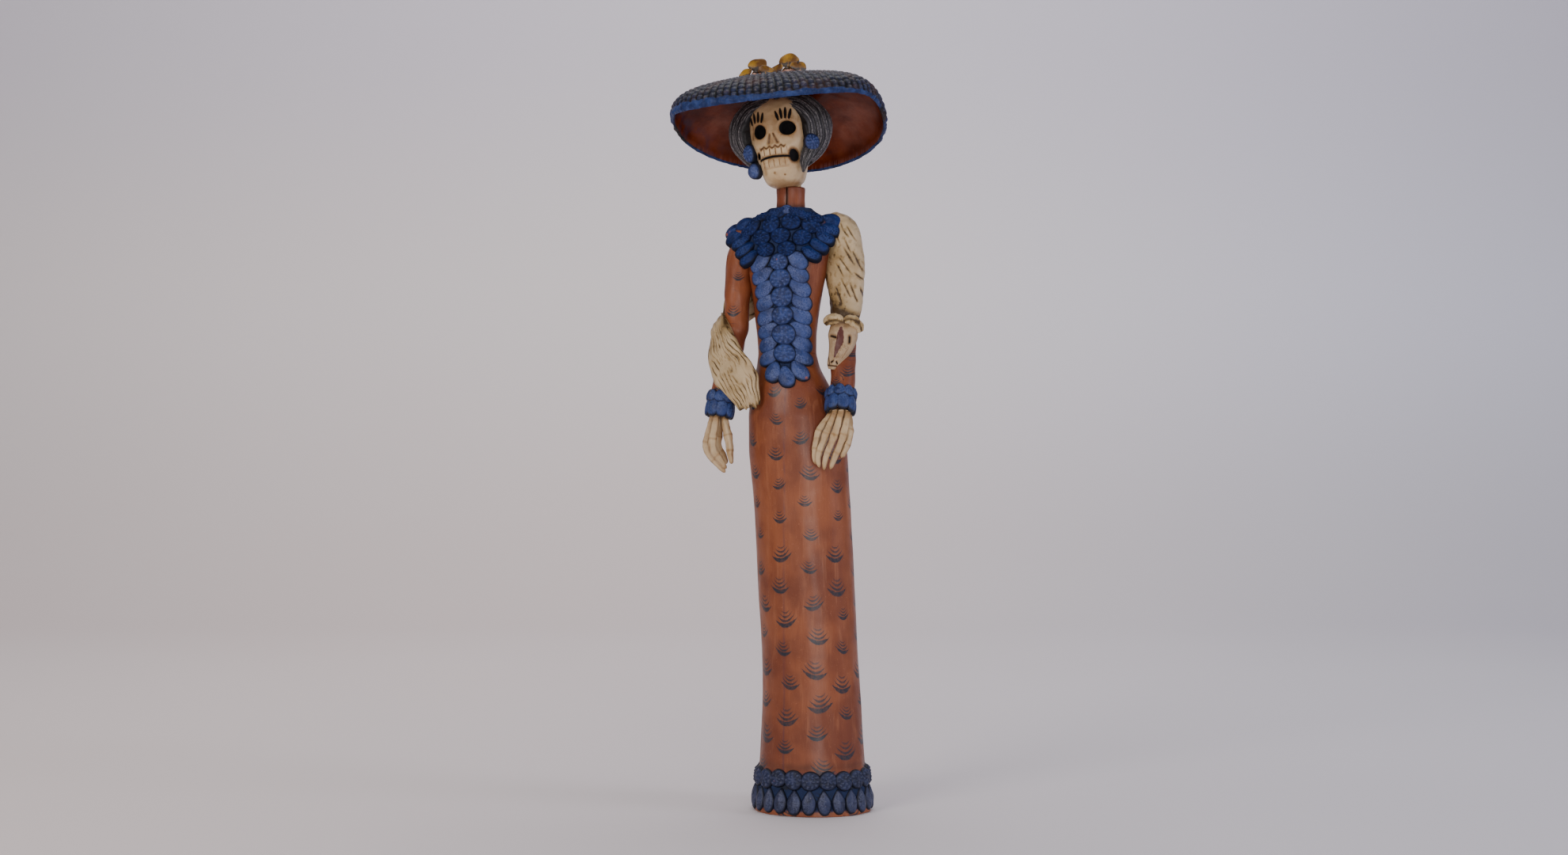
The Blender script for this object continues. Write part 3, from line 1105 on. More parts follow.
def shoulder_drape():
    """Fur drawn round the left upper arm, open at its lower end, with brushed strokes on its front."""
    def draped(radius, part, angle):
        return radius * (1 + 0.05 * np.cos(2 * angle + 1.0) + 0.03 * np.cos(3 * angle + 5 * part))
    points, spoke, _ = tube_rows(SHOULDER_DRAPE, 190, 150, draped)
    part = lengthwise(190, 150)
    points = points + spoke * (0.5 * wobble(points, 21.0, 61) + 0.15 * wobble(points, 6.0, 62))[..., None]
    front = points[..., (0, 2)]
    waver = 0.1 * wobble(points, 5.0, 63)
    lines = np.zeros(part.shape)
    for start, end in FUR_STROKES:
        distance, along = segment_distance(front, start, end)
        line = bell(distance + waver, 0.0, 0.55) * np.sin(np.pi * np.clip(along, 0.02, 0.98)) ** 0.4
        lines = np.maximum(lines, line)
    fuzz = smooth_step(wobble(points, 5.0, 64) + 0.5 * wobble(points, 2.2, 65), 0.6, 1.4)
    x, z = points[..., 0], points[..., 2]
    shade = smooth_step(-z, -354.0, -328.0) * smooth_step(-x, -33.0, -14.0)
    shade = shade + 0.5 * smooth_step(-x, -16.0, -9.0) + 0.4 * smooth_step(wobble(points, 19.0, 66), 0.3, 1.4)
    points = points - spoke * (0.5 * lines + 0.12 * fuzz)[..., None]
    stain = np.clip(lines + 0.35 * fuzz + 0.75 * smooth_step(part, 0.10, 0.0) + 0.95 * shade, 0, 1)
    middle = points[0].mean(axis=0)
    inner = [middle + (points[0] - middle) * scale + (0, 0, rise)
             for scale, rise in ((0.72, 4.0), (0.84, 1.0))]
    points = np.concatenate((inner, points))
    stain = np.concatenate((np.ones((2, 150)), stain))
    one_grid("stole_shoulder", "stole_shoulder_drape", points, FUR, "painted_fur", stain=stain, black=0.0)


def stole():
    shoulder_drape()
    fur_band("stole_back", "stole_back_band", BACK_BAND, 71, 4.0)
    fur_band("stole_forearm", "stole_forearm_drape", FOREARM_BAND, 81, 4.4, 1.2, around=190, pleat_depth=0.8,
             facets=1.5)
    animal_head()
    for side, rows in EARS.items():
        ear(side, rows)


# The animal's head from its crown to its nose: x, y, z, half width, half thickness, facing
ANIMAL_HEAD = (
    (22.6, -6.8, 322.0, 8.0, 4.6, 0.1, -1.0, 0.0), (22.8, -8.4, 314.0, 9.8, 6.0, 0.1, -1.0, 0.0),
    (21.8, -10.4, 306.5, 8.2, 5.6, 0.1, -1.0, 0.0), (19.6, -12.4, 299.0, 6.0, 4.8, 0.1, -1.0, 0.0),
    (18.2, -13.2, 294.4, 5.0, 4.6, 0.1, -1.0, 0.0), (17.8, -13.2, 291.0, 3.6, 3.2, 0.1, -1.0, 0.0))
# Cuts for its eyes, nostrils and lips: two ends as shares of its width and length, width, depth
FACE_CUTS = (
    ((0.44, 0.37), (0.76, 0.34), 0.040, 1.3), ((-0.52, 0.33), (-0.60, 0.42), 0.045, 1.3),
    ((0.20, 0.85), (0.42, 0.88), 0.026, 0.9), ((-0.20, 0.85), (-0.42, 0.88), 0.026, 0.9),
    ((-0.9, 0.93), (0.9, 0.93), 0.014, 0.5), ((-0.95, 0.80), (-0.55, 0.93), 0.016, 0.4),
    ((0.95, 0.80), (0.55, 0.93), 0.016, 0.4))
NARROW = np.array((0.34, 1.0))
# Its ears, from the root to the tip: x, y, z, radius
EARS = {
    "inner": ((23.0, -9.0, 322.6, 2.4), (19.0, -10.2, 324.2, 3.6), (14.0, -10.2, 323.6, 3.6),
              (10.4, -9.6, 321.4, 1.8)),
    "outer": ((24.2, -9.6, 322.4, 2.4), (28.0, -9.6, 323.2, 3.8), (32.4, -8.0, 320.4, 3.8),
              (34.0, -6.4, 315.6, 2.4))}


def animal_head():
    """A long muzzle with cut eyes, nostrils and lips, and a flake of maroon where the paint has gone."""
    points, _, flat, cross, thick = band_rows(ANIMAL_HEAD, 170, 130)
    part = lengthwise(170, 130)
    front = (thick > 0)[None, :] * 1.0
    face = np.stack((cross * np.ones(part.shape), part), axis=-1)
    snout = bell(face[..., 0], 0.0, 0.42) * smooth_step(part, 0.3, 0.6)
    brow = (bell(face[..., 0], 0.45, 0.2) + bell(face[..., 0], -0.45, 0.2)) * bell(part, 0.26, 0.07)
    rise = 1.1 * snout + 0.9 * brow
    stain = np.zeros(part.shape)
    black = np.zeros(part.shape)
    for start, end, width, deep in FACE_CUTS:
        distance, _ = segment_distance(face * NARROW, start * NARROW, end * NARROW)
        line = bell(distance, 0.0, width)
        rise = rise - deep * line
        stain = np.maximum(stain, line)
        if deep > 0.6:
            black = np.maximum(black, 0.62 * line ** 1.4)
    waver = 0.02 * wobble(points, 4.0, 91)
    for x in np.linspace(-0.75, 0.75, 9):
        distance, _ = segment_distance(face * NARROW, (x * 0.34, 0.42), (x * 0.26, 0.78))
        stain = np.maximum(stain, 0.5 * bell(distance + waver, 0.0, 0.012))
    points = points + flat[:, None, :] * (rise * front + 0.35 * wobble(points, 9.0, 92))[..., None]
    stain = np.clip(stain + 0.8 * bell(part, 0.0, 0.12) + 0.5 * (1 - np.abs(thick)) ** 2, 0, 1)
    left_edge = np.interp(part, (0.1, 0.45, 0.8), (-0.02, -0.22, 0.12))
    right_edge = np.interp(part, (0.08, 0.3, 0.6, 0.8), (0.16, 0.36, 0.46, 0.3))
    patch = smooth_step(face[..., 0] - left_edge, 0.0, 0.05)
    patch = patch * smooth_step(right_edge - face[..., 0], 0.0, 0.05)
    patch = patch * smooth_step(part, 0.10, 0.13) * smooth_step(-part, -0.80, -0.77) * front
    points = points - flat[:, None, :] * (0.35 * patch)[..., None]
    one_grid("stole_head", "stole_animal_head", points, FUR_CHIPPED, "painted_fur", stain=stain * (1 - patch),
             black=np.clip(black, 0, 1) * front * (1 - patch), chip=patch)


def ear(side, rows):
    """A rolled ear with a dark fold along it."""
    def fold(angle, width):
        return bell((angle + 0.4) % TAU, math.pi * 1.5, width)

    def rolled(radius, part, angle):
        tip = np.sqrt(np.clip(1 - ((np.abs(part - 0.5) - 0.44) / 0.06).clip(0, 1) ** 2, 0.03, 1))
        return radius * tip * (1 - 0.42 * fold(angle, 0.42))
    points, spoke, angle = tube_rows(rows, 80, 60, rolled)
    points = points + spoke * (0.3 * wobble(points, 6.0, 95) + 0.08 * wobble(points, 2.0, 96))[..., None]
    stain = np.clip(0.85 * fold(angle, 0.5) + 0.3 * (wobble(points, 4.0, 97) > 0.5), 0, 1)
    one_grid(f"stole_ear_{side}", f"stole_{side}_ear", points, FUR, "painted_fur", stain=stain, black=0.0)


# ---------------------------------------------------------------- head

# Outline of the skull: height, middle in Y, half width, half depth
SKULL = (
    (-33.6, -6.0, 6.0, 9.0), (-32.6, -6.0, 8.8, 13.0), (-30.4, -6.0, 11.8, 16.2), (-25.0, -5.6, 14.0, 18.6),
    (-14.0, -4.4, 16.5, 20.6), (-4.0, -2.4, 19.4, 23.0), (8.0, 0.0, 20.6, 25.6), (18.0, 1.0, 19.0, 24.4),
    (26.0, 2.0, 13.0, 17.0), (30.0, 2.0, 5.0, 7.0))
# Eye sockets: x, z, half width, half height, and the ends of the lashes painted above each
EYES = ((-10.0, 2.6, 4.6, 4.9), (8.4, 2.8, 5.5, 4.9))
LASHES = (((-4.8, 5.6), (-6.4, 11.6)), ((-2.5, 6.4), (-3.2, 13.2)), ((-0.1, 6.4), (0.1, 13.4)),
          ((2.2, 5.8), (3.4, 12.2)))
# Holes at the ends of the mouth: x, z, half width, half height
MOUTH_ENDS = ((-13.0, -12.6, 1.3, 2.2), (10.4, -15.4, 2.8, 4.6))
# The nose's two slots and two cracks: both ends and how deep
SLOTS = (((-3.4, -0.2), (-4.6, -5.4), 0.9), ((-1.0, 0.2), (1.3, -5.8), 0.9),
         ((-14.6, 7.0), (-15.6, -0.6), 0.8), ((-10.0, -14.4), (-9.6, -25.0), 0.45))
MOUTH_MIDDLE = -2.4
# Rows of teeth: shift in teeth, lower edge, upper edge, pitch, stain between them, bulge
TEETH = ((0, -14.0, -9.4, 3.9, 0.95, 1.2), (0.5, -21.6, -16.4, 3.7, 0.75, 0.8))
CHIN_PITS = ((-3.2, -25.4), (3.6, -27.4))


class Face:
    """The skull's surface: how far each point is pushed forward, how stained it is and how black."""

    def __init__(self, points):
        self.points = points
        self.x, self.y, self.z = np.moveaxis(points, -1, 0)
        self.flat = points[..., (0, 2)]
        self.push = np.zeros(self.x.shape)
        self.stain = np.zeros(self.x.shape)
        self.black = np.zeros(self.x.shape)

    def darken(self, amount):
        self.stain = np.maximum(self.stain, amount)

    def blacken(self, amount):
        self.black = np.maximum(self.black, amount)


def face_form(face):
    """Brow ridges, cheekbones over hollow cheeks, a rounded mouth, the chin and the nose's bridge."""
    aside, z = np.abs(face.x), face.z
    face.push += 1.0 * bell(aside, 10.0, 6.5) * bell(z, 8.6, 3.0)
    face.push += 1.6 * bell(aside, 14.5, 4.5) * bell(z, -6.5, 4.0)
    face.push -= 1.1 * bell(aside, 15.0, 3.6) * bell(z, -15.5, 6.0)
    muzzle = smooth_step(11.5 - aside, -3.0, 3.0) * smooth_step(z, -24.0, -19.0) * smooth_step(-z, 5.0, 10.0)
    face.push += 1.9 * muzzle
    face.push += 1.6 * bell(face.x, 0.0, 8.0) * bell(z, -28.0, 4.6)
    face.push += 1.3 * bell(face.x, 0.0, 2.0) * smooth_step(z, -8.5, -6.5) * smooth_step(-z, -5.0, 1.0)
    face.push += 0.25 * wobble(face.points, 15.0, 101) + 0.08 * wobble(face.points, 5.0, 102)


def eye_sockets(face):
    """Round black sockets with a soft rim, and four painted lashes above each."""
    for eye_x, eye_z, wide, tall in EYES:
        eye = np.hypot((face.x - eye_x) / wide, (face.z - eye_z) / tall)
        face.push += 0.5 * bell(eye, 1.25, 0.3)
        face.push -= 7.5 * smooth_step(-eye, -1.02, -0.72)
        face.blacken(smooth_step(-eye, -1.0, -0.88))
        face.darken(0.6 * smooth_step(-eye, -1.6, -0.95))
        face.darken(0.4 * bell(eye, 1.1, 0.8))
        for start, end in LASHES:
            middle = np.array((eye_x, eye_z))
            distance, along = segment_distance(face.flat, middle + start, middle + end)
            width = 0.85 * np.sin(np.pi * np.clip(along * 0.8 + 0.12, 0, 1)) ** 0.7 + 0.12
            stroke = smooth_step(-distance / width, -1.15, -0.75)
            face.blacken(stroke * 0.96)
            face.darken(0.5 * smooth_step(-distance / width, -2.2, -0.9))
            face.push -= 0.35 * stroke


def holes_and_slots(face):
    for end_x, end_z, wide, tall in MOUTH_ENDS:
        hole = np.hypot((face.x - end_x) / wide, (face.z - end_z) / tall)
        face.push -= 4.0 * smooth_step(-hole, -1.05, -0.6)
        face.blacken(smooth_step(-hole, -0.98, -0.8))
        face.darken(0.8 * smooth_step(-hole, -1.5, -0.95))
    for start, end, depth in SLOTS:
        distance, along = segment_distance(face.flat, start, end)
        slot = bell(distance, 0.0, 0.8 + 0.7 * along)
        face.push -= 1.1 * slot * depth
        face.darken(depth * slot)
    for x, z in CHIN_PITS:
        pit = bell(np.hypot(face.x - x, face.z - z), 0.0, 0.8)
        face.push -= 0.5 * pit
        face.darken(0.9 * pit)


def mouth(face):
    """A dark slit between two rows of teeth, with a brown wash at their roots."""
    x, z = face.x - MOUTH_MIDDLE, face.z
    slit = bell(z, -14.9 - 0.008 * x ** 2, 1.05) * smooth_step(11.0 - np.abs(x), 0.0, 0.8)
    face.push -= 1.9 * slit
    face.blacken(smooth_step(slit, 0.5, 0.8))
    face.darken(slit)
    for shift, low, high, pitch, amount, bulge in TEETH:
        tooth = np.abs((x / pitch + shift) % 1.0 - 0.5) * 2
        row = smooth_step(z, low - 0.4, low + 0.6) * smooth_step(-z, -high - 0.6, -high + 0.4)
        row = row * smooth_step(10.4 - np.abs(x), 0.0, 1.2)
        face.push += (bulge * np.clip(tooth, 0, 0.7) ** 0.5 - 0.3 * bulge) * row
        face.darken(amount * bell(tooth, 0.0, 0.17) * row)
    width = smooth_step(10.0 - np.abs(x), 0.0, 2.0)
    roots = bell(z, -8.6 - 0.6 * np.cos(TAU * x / 3.9), 1.1) * width
    gum = bell(z, -22.2, 0.6) * width
    face.push -= 0.4 * roots + 0.4 * gum
    face.darken(0.95 * roots)
    face.darken(0.32 * gum)


def old_stains(face):
    face.darken(0.5 * bell(face.x, -1.8, 4.5) * bell(face.z, -4.5, 3.4))
    face.darken(0.38 * smooth_step(wobble(face.points, 17.0, 104), 0.2, 1.5))
    face.darken(0.05 * smooth_step(face.z, 15.0, 20.0) + 0.4 * smooth_step(-face.z, 29.0, 33.0))
    face.darken(0.55 * smooth_step(np.abs(face.x), 15.5, 19.5))


def skull():
    """Face and jaw in the head's own axes: sockets, nose, teeth and jaw modelled into one shell."""
    height, back, width, depth = (column[:, None] for column in spline(SKULL, 210).T)
    spread = np.linspace(0, 1, 360, endpoint=False)
    angle = TAU * spread + 0.55 * np.sin(TAU * spread) + math.pi / 2
    boxy = (np.abs(np.cos(angle)) ** 2.5 + np.abs(np.sin(angle)) ** 2.5) ** (-1 / 2.5)
    face = Face(np.stack((width * np.cos(angle) * boxy, back + depth * np.sin(angle) * boxy,
                          height * np.ones(360)), axis=-1))
    for shaping in (face_form, eye_sockets, holes_and_slots, mouth, old_stains):
        shaping(face)
    facing = smooth_step(-face.y, 2.0, 9.0)
    stain = face.stain * facing + 0.25 * wobble(face.points, 12.0, 103) * (1 - facing)
    points = face.points - (face.push * facing)[..., None] * (0, 1, 0)
    one_grid("skull_face", "skull", points, BONE, "painted_bone", "head", HEAD_FRAME, 80,
             stain=np.clip(stain, 0, 1), black=face.black * facing)


def strands(across, along, seed, pitch=1.25):
    """Ridges of incised hair: fast across, slow along; returns a value from 0 to 1."""
    flow = across + 0.5 * np.sin(along * 0.11 + seed) + 0.25 * np.sin(along * 0.31 + across * 0.2)
    wide = 0.5 + 0.5 * np.sin(flow * TAU / (pitch * 2.7) + seed)
    thin = np.abs(np.sin(flow * math.pi / pitch))
    extra = np.abs(np.sin(flow * math.pi / (pitch * 0.61) + 1.3 * np.sin(along * 0.17)))
    return np.clip(0.22 * wide + 0.5 * thin ** 0.7 + 0.28 * extra, 0, 1)


# Half width of the opening for the face, from the jaw up
HAIR_OPENING = ((-40.0, -30.0, -18.0, -8.0, 0.0, 6.0, 11.0, 15.0, 18.0, 20.0, 22.0),
                (13.2, 14.6, 16.6, 19.2, 20.6, 20.6, 18.8, 15.2, 10.6, 5.0, -3.0))
SIDE_LOCK = ((23.5, -12.0, -3.0, 3.0), (21.4, -15.4, -10.0, 4.8), (18.6, -18.2, -16.0, 4.2),
             (16.4, -19.2, -21.0, 2.8), (14.8, -19.2, -27.0, 0.5))


def hair():
    """A parted cap of hair round the face, its strands running from the parting down each side."""
    polar, turn = np.meshgrid(np.linspace(0.02, math.pi - 0.02, 330), turns(300) - math.pi, indexing="ij")
    middle = np.array((-0.8, 3.4, 5.0))
    sizes = np.array((34.4, 30.6, 27.0))
    direction = np.stack((np.sin(polar) * np.sin(turn), -np.cos(polar),
                          np.sin(polar) * np.cos(turn)), axis=-1)
    points = middle + direction * sizes
    x, y, z = np.moveaxis(points, -1, 0)
    inside = smooth_step(np.interp(z, *HAIR_OPENING) - np.abs(x + 0.9), -2.2, 1.2) * (y < 4)
    along = np.abs(turn) * 30.0
    across = polar * 30.0 - 0.16 * along
    parting = bell(turn, 0.0, 0.06) * smooth_step(np.sin(polar), 0.1, 0.3)
    ridge = strands(across, along, 3.0, 2.3) * (1 - 0.7 * parting)
    lumps = 0.35 * wobble(points, 22.0, 111) + 0.6 * np.sin(across * 0.22 + 1.0)
    grow = 1.5 * ridge - 1.1 + lumps - 1.6 * parting + 0.8 * smooth_step(-z, 12.0, 25.0)
    points = middle + direction * (sizes * (1 - 0.34 * inside)[..., None] + (grow * (1 - inside))[..., None])
    points[..., 2] = np.maximum(points[..., 2], NECK_TOP + 1.4 - HEAD.z)
    one_grid("hair_mass", "hair_cap", points, HAIR, "painted_hair", "head", HEAD_FRAME, 80,
             ridge=np.clip(ridge * (1 - inside) ** 2, 0, 1))


def side_lock():
    points, spoke, angle = tube_rows(SIDE_LOCK, 90, 60, squash=0.6)
    ridge = strands(angle * 3.4 * np.ones((90, 1)), np.linspace(0, 30, 90)[:, None], 5.0, 1.0)
    points = points + spoke * (0.6 * ridge - 0.3)[..., None]
    one_grid("side_lock", "left_side_lock", points, HAIR, "painted_hair", "head", HEAD_FRAME, 80, ridge=ridge)


# Trim at the ears: piece, node, place, facing, half width, half height
EAR_TRIM = (
    ("left_ear_flower", "left_ear_rosette", (22.6, -17.4, -8.0), (0.45, -1.0, 0.05), 5.2, 6.4),
    ("right_ear_flower", "right_ear_rosette", (-19.8, -17.6, -9.6), (-0.55, -1.0, 0.05), 4.6, 6.6),
    ("right_ear_pendant", "right_ear_drop", (-17.8, -18.6, -21.6), (-0.45, -1.0, 0.0), 5.0, 5.6))


def ear_rosettes():
    draw = np.random.RandomState(23)
    for name, node, spot, normal, half_across, half_along in EAR_TRIM:
        shape = Shape("rho", "worn")
        patch = plane_patch(spot, normal, (0, 0, 1.0), 18.0)
        relief = rosette_relief(2.6, draw) if node != "right_ear_drop" else petal_relief(2.6, draw, 0.3, 0.5)
        pad(shape, patch, uneven_outline(half_across, half_along, draw), relief, 18, 56, 2.2)
        shape.moved(HEAD_FRAME)
        make(name, shape, [BLUE], "head", [node], sharp=62)


# ---------------------------------------------------------------- hat


def weave_relief(angle, travel, ribs, full):
    """Cane ribs running up the dome, cut across by staggered notches; a value from 0 to 1."""
    total = np.zeros(np.broadcast(angle, travel).shape)
    for level in range(4):
        count = ribs / 2 ** level
        weight = smooth_step(travel, full * (1 - 0.52 ** level) - 1.5, full * (1 - 0.52 ** level) + 1.5)
        rib = angle * count / TAU + 0.035 * travel * count / ribs
        number = np.floor(rib)
        round_rib = np.abs(np.sin(math.pi * rib)) ** 0.8
        notch = np.abs(np.sin(math.pi * (travel / 4.3 + 0.5 * (number % 2)) + 0.45 * np.sin(number * 2.1)))
        value = round_rib * (0.35 + 0.65 * notch ** 0.6)
        total = total * (1 - weight) + value * weight if level else value
    return total


def hat_profile(count, grow):
    """Radius, height, distance from the rim and outward direction of the dome's outline."""
    part = np.linspace(0, math.pi / 2, 2000)
    radius = np.cos(part) ** HAT_FULLNESS
    height = np.sin(part) ** HAT_FULLNESS
    run = np.concatenate(([0], np.cumsum(np.hypot(np.diff(radius * HAT_RADIUS), np.diff(height * HAT_RISE)))))
    wanted = np.linspace(0, run[-1] - 0.8, count)
    radius = np.interp(wanted, run, radius)
    height = np.interp(wanted, run, height)
    power = 2 / HAT_FULLNESS - 1
    out = unit(np.stack((radius ** power / HAT_RADIUS, height ** power / HAT_RISE), axis=1))
    return radius * HAT_RADIUS + out[:, 0] * grow, height * HAT_RISE + out[:, 1] * grow, wanted, out


# Where the rim lifts at the front corners: angle and height
RIM_CORNERS = ((TAU - 0.35, 6.4), (math.pi + 0.35, 5.4))


def hat_surface(angle, count, grow):
    """Points on the hat from the rim up, their outward directions and their distance from the rim."""
    radius, height, travel, out = hat_profile(count, grow)
    widening = 0.05 * np.sin(2 * angle) ** 2 * (np.sin(angle) < 0)
    lift = 2.2 * np.cos(2 * angle + 0.5) + 1.2 * np.cos(2 * angle)
    for corner, raised in RIM_CORNERS:
        away = (angle - corner + math.pi) % TAU - math.pi
        lift = lift + raised * bell(away, 0.0, 0.5)
    flatness = np.clip(radius / HAT_RADIUS, 0, 1)[:, None] ** 2
    size = radius[:, None] * (1 + widening * flatness)
    points = np.stack((size * np.cos(angle), size * np.sin(angle),
                       height[:, None] + lift * flatness), axis=-1)
    normal = np.stack((out[:, :1] * np.cos(angle), out[:, :1] * np.sin(angle),
                       out[:, 1:] * np.ones(angle.shape)), axis=-1)
    return points, normal, travel[:, None] * np.ones(angle.shape)


def hat():
    """The domed hat: woven relief above, a blue rim worn off at its sides, and a smooth underside."""
    angle = turns(HAT_AROUND)[None, :]
    outer, normal, travel = hat_surface(angle, 122, 0.0)
    relief = weave_relief(angle, travel, 88, travel.max())
    edge = 2.1 + 1.9 * np.cos(angle + 2.7) + 0.6 * wobble(outer, 16.0, 121) + 0.4 * wobble(outer, 5.0, 122)
    band = smooth_step(edge - travel, -0.8, 0.8)
    bite = 0.9 * wobble(outer, 3.4, 125) * bell(travel, 0.0, 2.0)
    grow = 1.5 * relief * (1 - band) + 0.9 * band * (1 + 0.35 * wobble(outer, 7.0, 123)) - 0.7 + 0.6 * bite
    outer = outer + normal * grow[..., None]
    low = smooth_step(-travel, -20.0, -2.0) * smooth_step(wobble(outer, 24.0, 126), -1.6, 0.6)
    right_end = np.abs(angle - math.pi)
    left_end = np.minimum(angle, TAU - angle)
    kept = 1 - 0.8 * bell(right_end, 0.0, 0.3) - 0.9 * bell(left_end, 0.0, 0.16)
    under, under_normal, _ = hat_surface(angle, 20, -HAT_WALL)
    under = under - under_normal * (0.3 * wobble(under, 16.0, 124))[..., None]
    lip = np.array([outer[0] * (1 - t) + under[0] * t - (0, 0, 0.9 * math.sin(math.pi * t) + 0.5 * (t == 0.5))
                    for t in (0.0, 0.25, 0.5, 0.75, 1.0)])
    reach = np.hypot(under[..., 0], under[..., 1])
    shade = smooth_step(reach, HAT_RADIUS - 12.0, HAT_RADIUS - 3.0)
    shade = 0.6 * shade * smooth_step(-under[..., 0] / HAT_RADIUS, 0.6, 0.95)
    faded = bell(reach, 54.0, 13.0) * smooth_step(np.sin(angle), 0.0, 0.5)
    faded = faded * smooth_step(np.abs(np.cos(angle)), 0.25, 0.6)
    shape = Shape("ridge", "band", "low")
    shape.grid(outer, caps=(False, True), kind=0, ridge=relief, band=band * kept, low=low)
    shape.grid(lip[::-1], kind=0, ridge=0.3, band=kept * np.ones((5, 1)), low=0.5)
    shape.grid(under[::-1], caps=(True, False), kind=1, low=shade[::-1], band=faded[::-1])
    shape.moved(HAT_FRAME)
    weld(make("hat", shape, [WEAVE, UNDERSIDE], "head", ["hat_brim"], sharp=80))


def weld(piece):
    """Joins the strips of a piece where their edges meet."""
    bm = bmesh.new()
    bm.from_mesh(piece.data)
    bmesh.ops.remove_doubles(bm, verts=bm.verts, dist=0.00002)
    bmesh.ops.recalc_face_normals(bm, faces=bm.faces)
    bm.to_mesh(piece.data)
    bm.free()
    piece.data.shade_smooth()


def crown():
    """A low woven crown behind the flowers."""
    part, angle = np.meshgrid(np.linspace(-0.5, math.radians(88), 60), turns(260), indexing="ij")
    points = np.stack((18.0 * np.cos(part) * np.cos(angle), 2.0 + 17.0 * np.cos(part) * np.sin(angle),
                       HAT_RISE - 1.0 + 7.5 * np.sin(part)), axis=-1)
    relief = weave_relief(angle, 18.0 * (part + 0.5), 32, 34.0)
    points = points + unit(points - (0, 2.0, HAT_RISE - 8.0)) * (0.6 * relief - 0.3)[..., None]
    one_grid("hat_top_knob", "hat_crown", points, WEAVE, "painted_hat", "head", HAT_FRAME, 80,
             ridge=relief, band=0.0, low=0.0)


def cupped_petal(shape, centre, facing, size, cup, pink, seed):
    """A round, slightly wavy petal that faces one way, dark strokes spreading from its foot."""
    facing = unit(facing)
    side = unit(np.cross((0, 0, 1.0), facing))
    up = np.cross(facing, side)
    angle = turns(44)[None, :]
    rho = np.concatenate((np.arange(1, 13) / 12, np.arange(12, 0, -1) / 12))[:, None]
    face = np.concatenate((np.ones(12), -np.ones(12)))[:, None]
    wave = 1 + 0.05 * np.sin(3 * angle + seed)
    across = rho * size * np.cos(angle) * wave
    along = rho * size * 0.9 * np.sin(angle) * wave
    depth = cup * rho ** 2 + 0.3 * np.sin(4 * angle + seed) * rho ** 3
    thick = 0.85 * np.sqrt(np.clip(1 - rho ** 4, 0, 1))
    points = (centre + across[..., None] * side + along[..., None] * up
              + (depth + face * thick)[..., None] * facing)
    foot = 0.5 - along / (1.8 * size)
    streak = np.abs(np.sin(2.6 * across / size + 0.5 * np.sin(seed))) ** 0.5
    black = smooth_step(foot + 0.25 * (1 - streak), 0.45, 0.85) * smooth_step(streak, 0.15, 0.6) * (face > 0)
    shape.grid(points, caps=(True, True), black=black * (1 - pink), pink=pink)


# Petals of one flower: place in petal sizes, facing, size, cup, how pink
FLOWER_PETALS = (
    ((0.12, 0.35, 0.95), (0.1, -1.0, 0.35), 1.0, 1.2, 0.0),
    ((-1.05, 0.1, 0.05), (-0.45, -1.0, 0.55), 0.82, 1.2, 0.0),
    ((1.05, 0.1, 0.15), (0.5, -1.0, 0.5), 0.82, 1.2, 0.0),
    ((-0.55, -0.5, -0.55), (-0.2, -0.55, 1.0), 0.85, 1.0, 1.0),
    ((0.6, -0.5, -0.5), (0.2, -0.55, 1.0), 0.85, 1.0, 1.0),
    ((0.0, 1.2, 0.1), (0.0, 1.0, 0.5), 0.9, 1.0, 0.3))


def flower(side, middle, size, seed):
    """An open flower of cupped petals on the hat, yellow above and pinkish below."""
    shape = Shape("black", "pink")
    middle = np.array(middle)
    for index, (offset, facing, scale, cup, pink) in enumerate(FLOWER_PETALS):
        centre = middle + np.array(offset) * size
        cupped_petal(shape, centre, facing, size * scale, cup, pink, seed + index)
    part, angle = np.meshgrid(np.linspace(-1.4, 1.4, 14), turns(26), indexing="ij")
    ball = np.stack((np.cos(part) * np.cos(angle), np.cos(part) * np.sin(angle), np.sin(part)), axis=-1)
    shape.grid(ball * 1.9 + middle + (0, -1.4, -0.6), caps=(True, True), black=1.0)
    shape.grid(ball * (3.4, 3.4, 4.2) + middle + (0, 0.6, -3.6), caps=(True, True), pink=0.6)
    shape.moved(HAT_FRAME)
    make(f"flower_{side}", shape, [FLOWER], "head", [f"hat_flower_{side}"], sharp=70)


def hidden_pieces():
    """New paint for the CAD pieces that are carried over: dowel, peg, base disc and arm wires."""
    wood = plain_paint("dowel_wood", (0.30, 0.18, 0.08), (0.52, 0.36, 0.19), 160.0, 0.5,
                       stretch=(1.0, 1.0, 0.08))
    board = plain_paint("base_board", (0.26, 0.19, 0.12), (0.40, 0.31, 0.21), 420.0, 0.75)
    wire = plain_paint("arm_wire_steel", (0.30, 0.30, 0.31), (0.55, 0.55, 0.56), 900.0, 0.28, metal=1.0)
    for node, material in (("spine_rod", wood), ("neck_peg", wood), ("base_disc", board),
                           ("right_arm_wire", wire), ("left_arm_wire", wire)):
        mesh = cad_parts[node].data
        mesh.materials.clear()
        mesh.materials.append(material)


# ---------------------------------------------------------------- studio

CAMERA_TURN = math.radians(13.0)
CAMERA_DISTANCE = 1.446
CAMERA_SHIFT = 0.0189
CAMERA_HEIGHT = 0.253
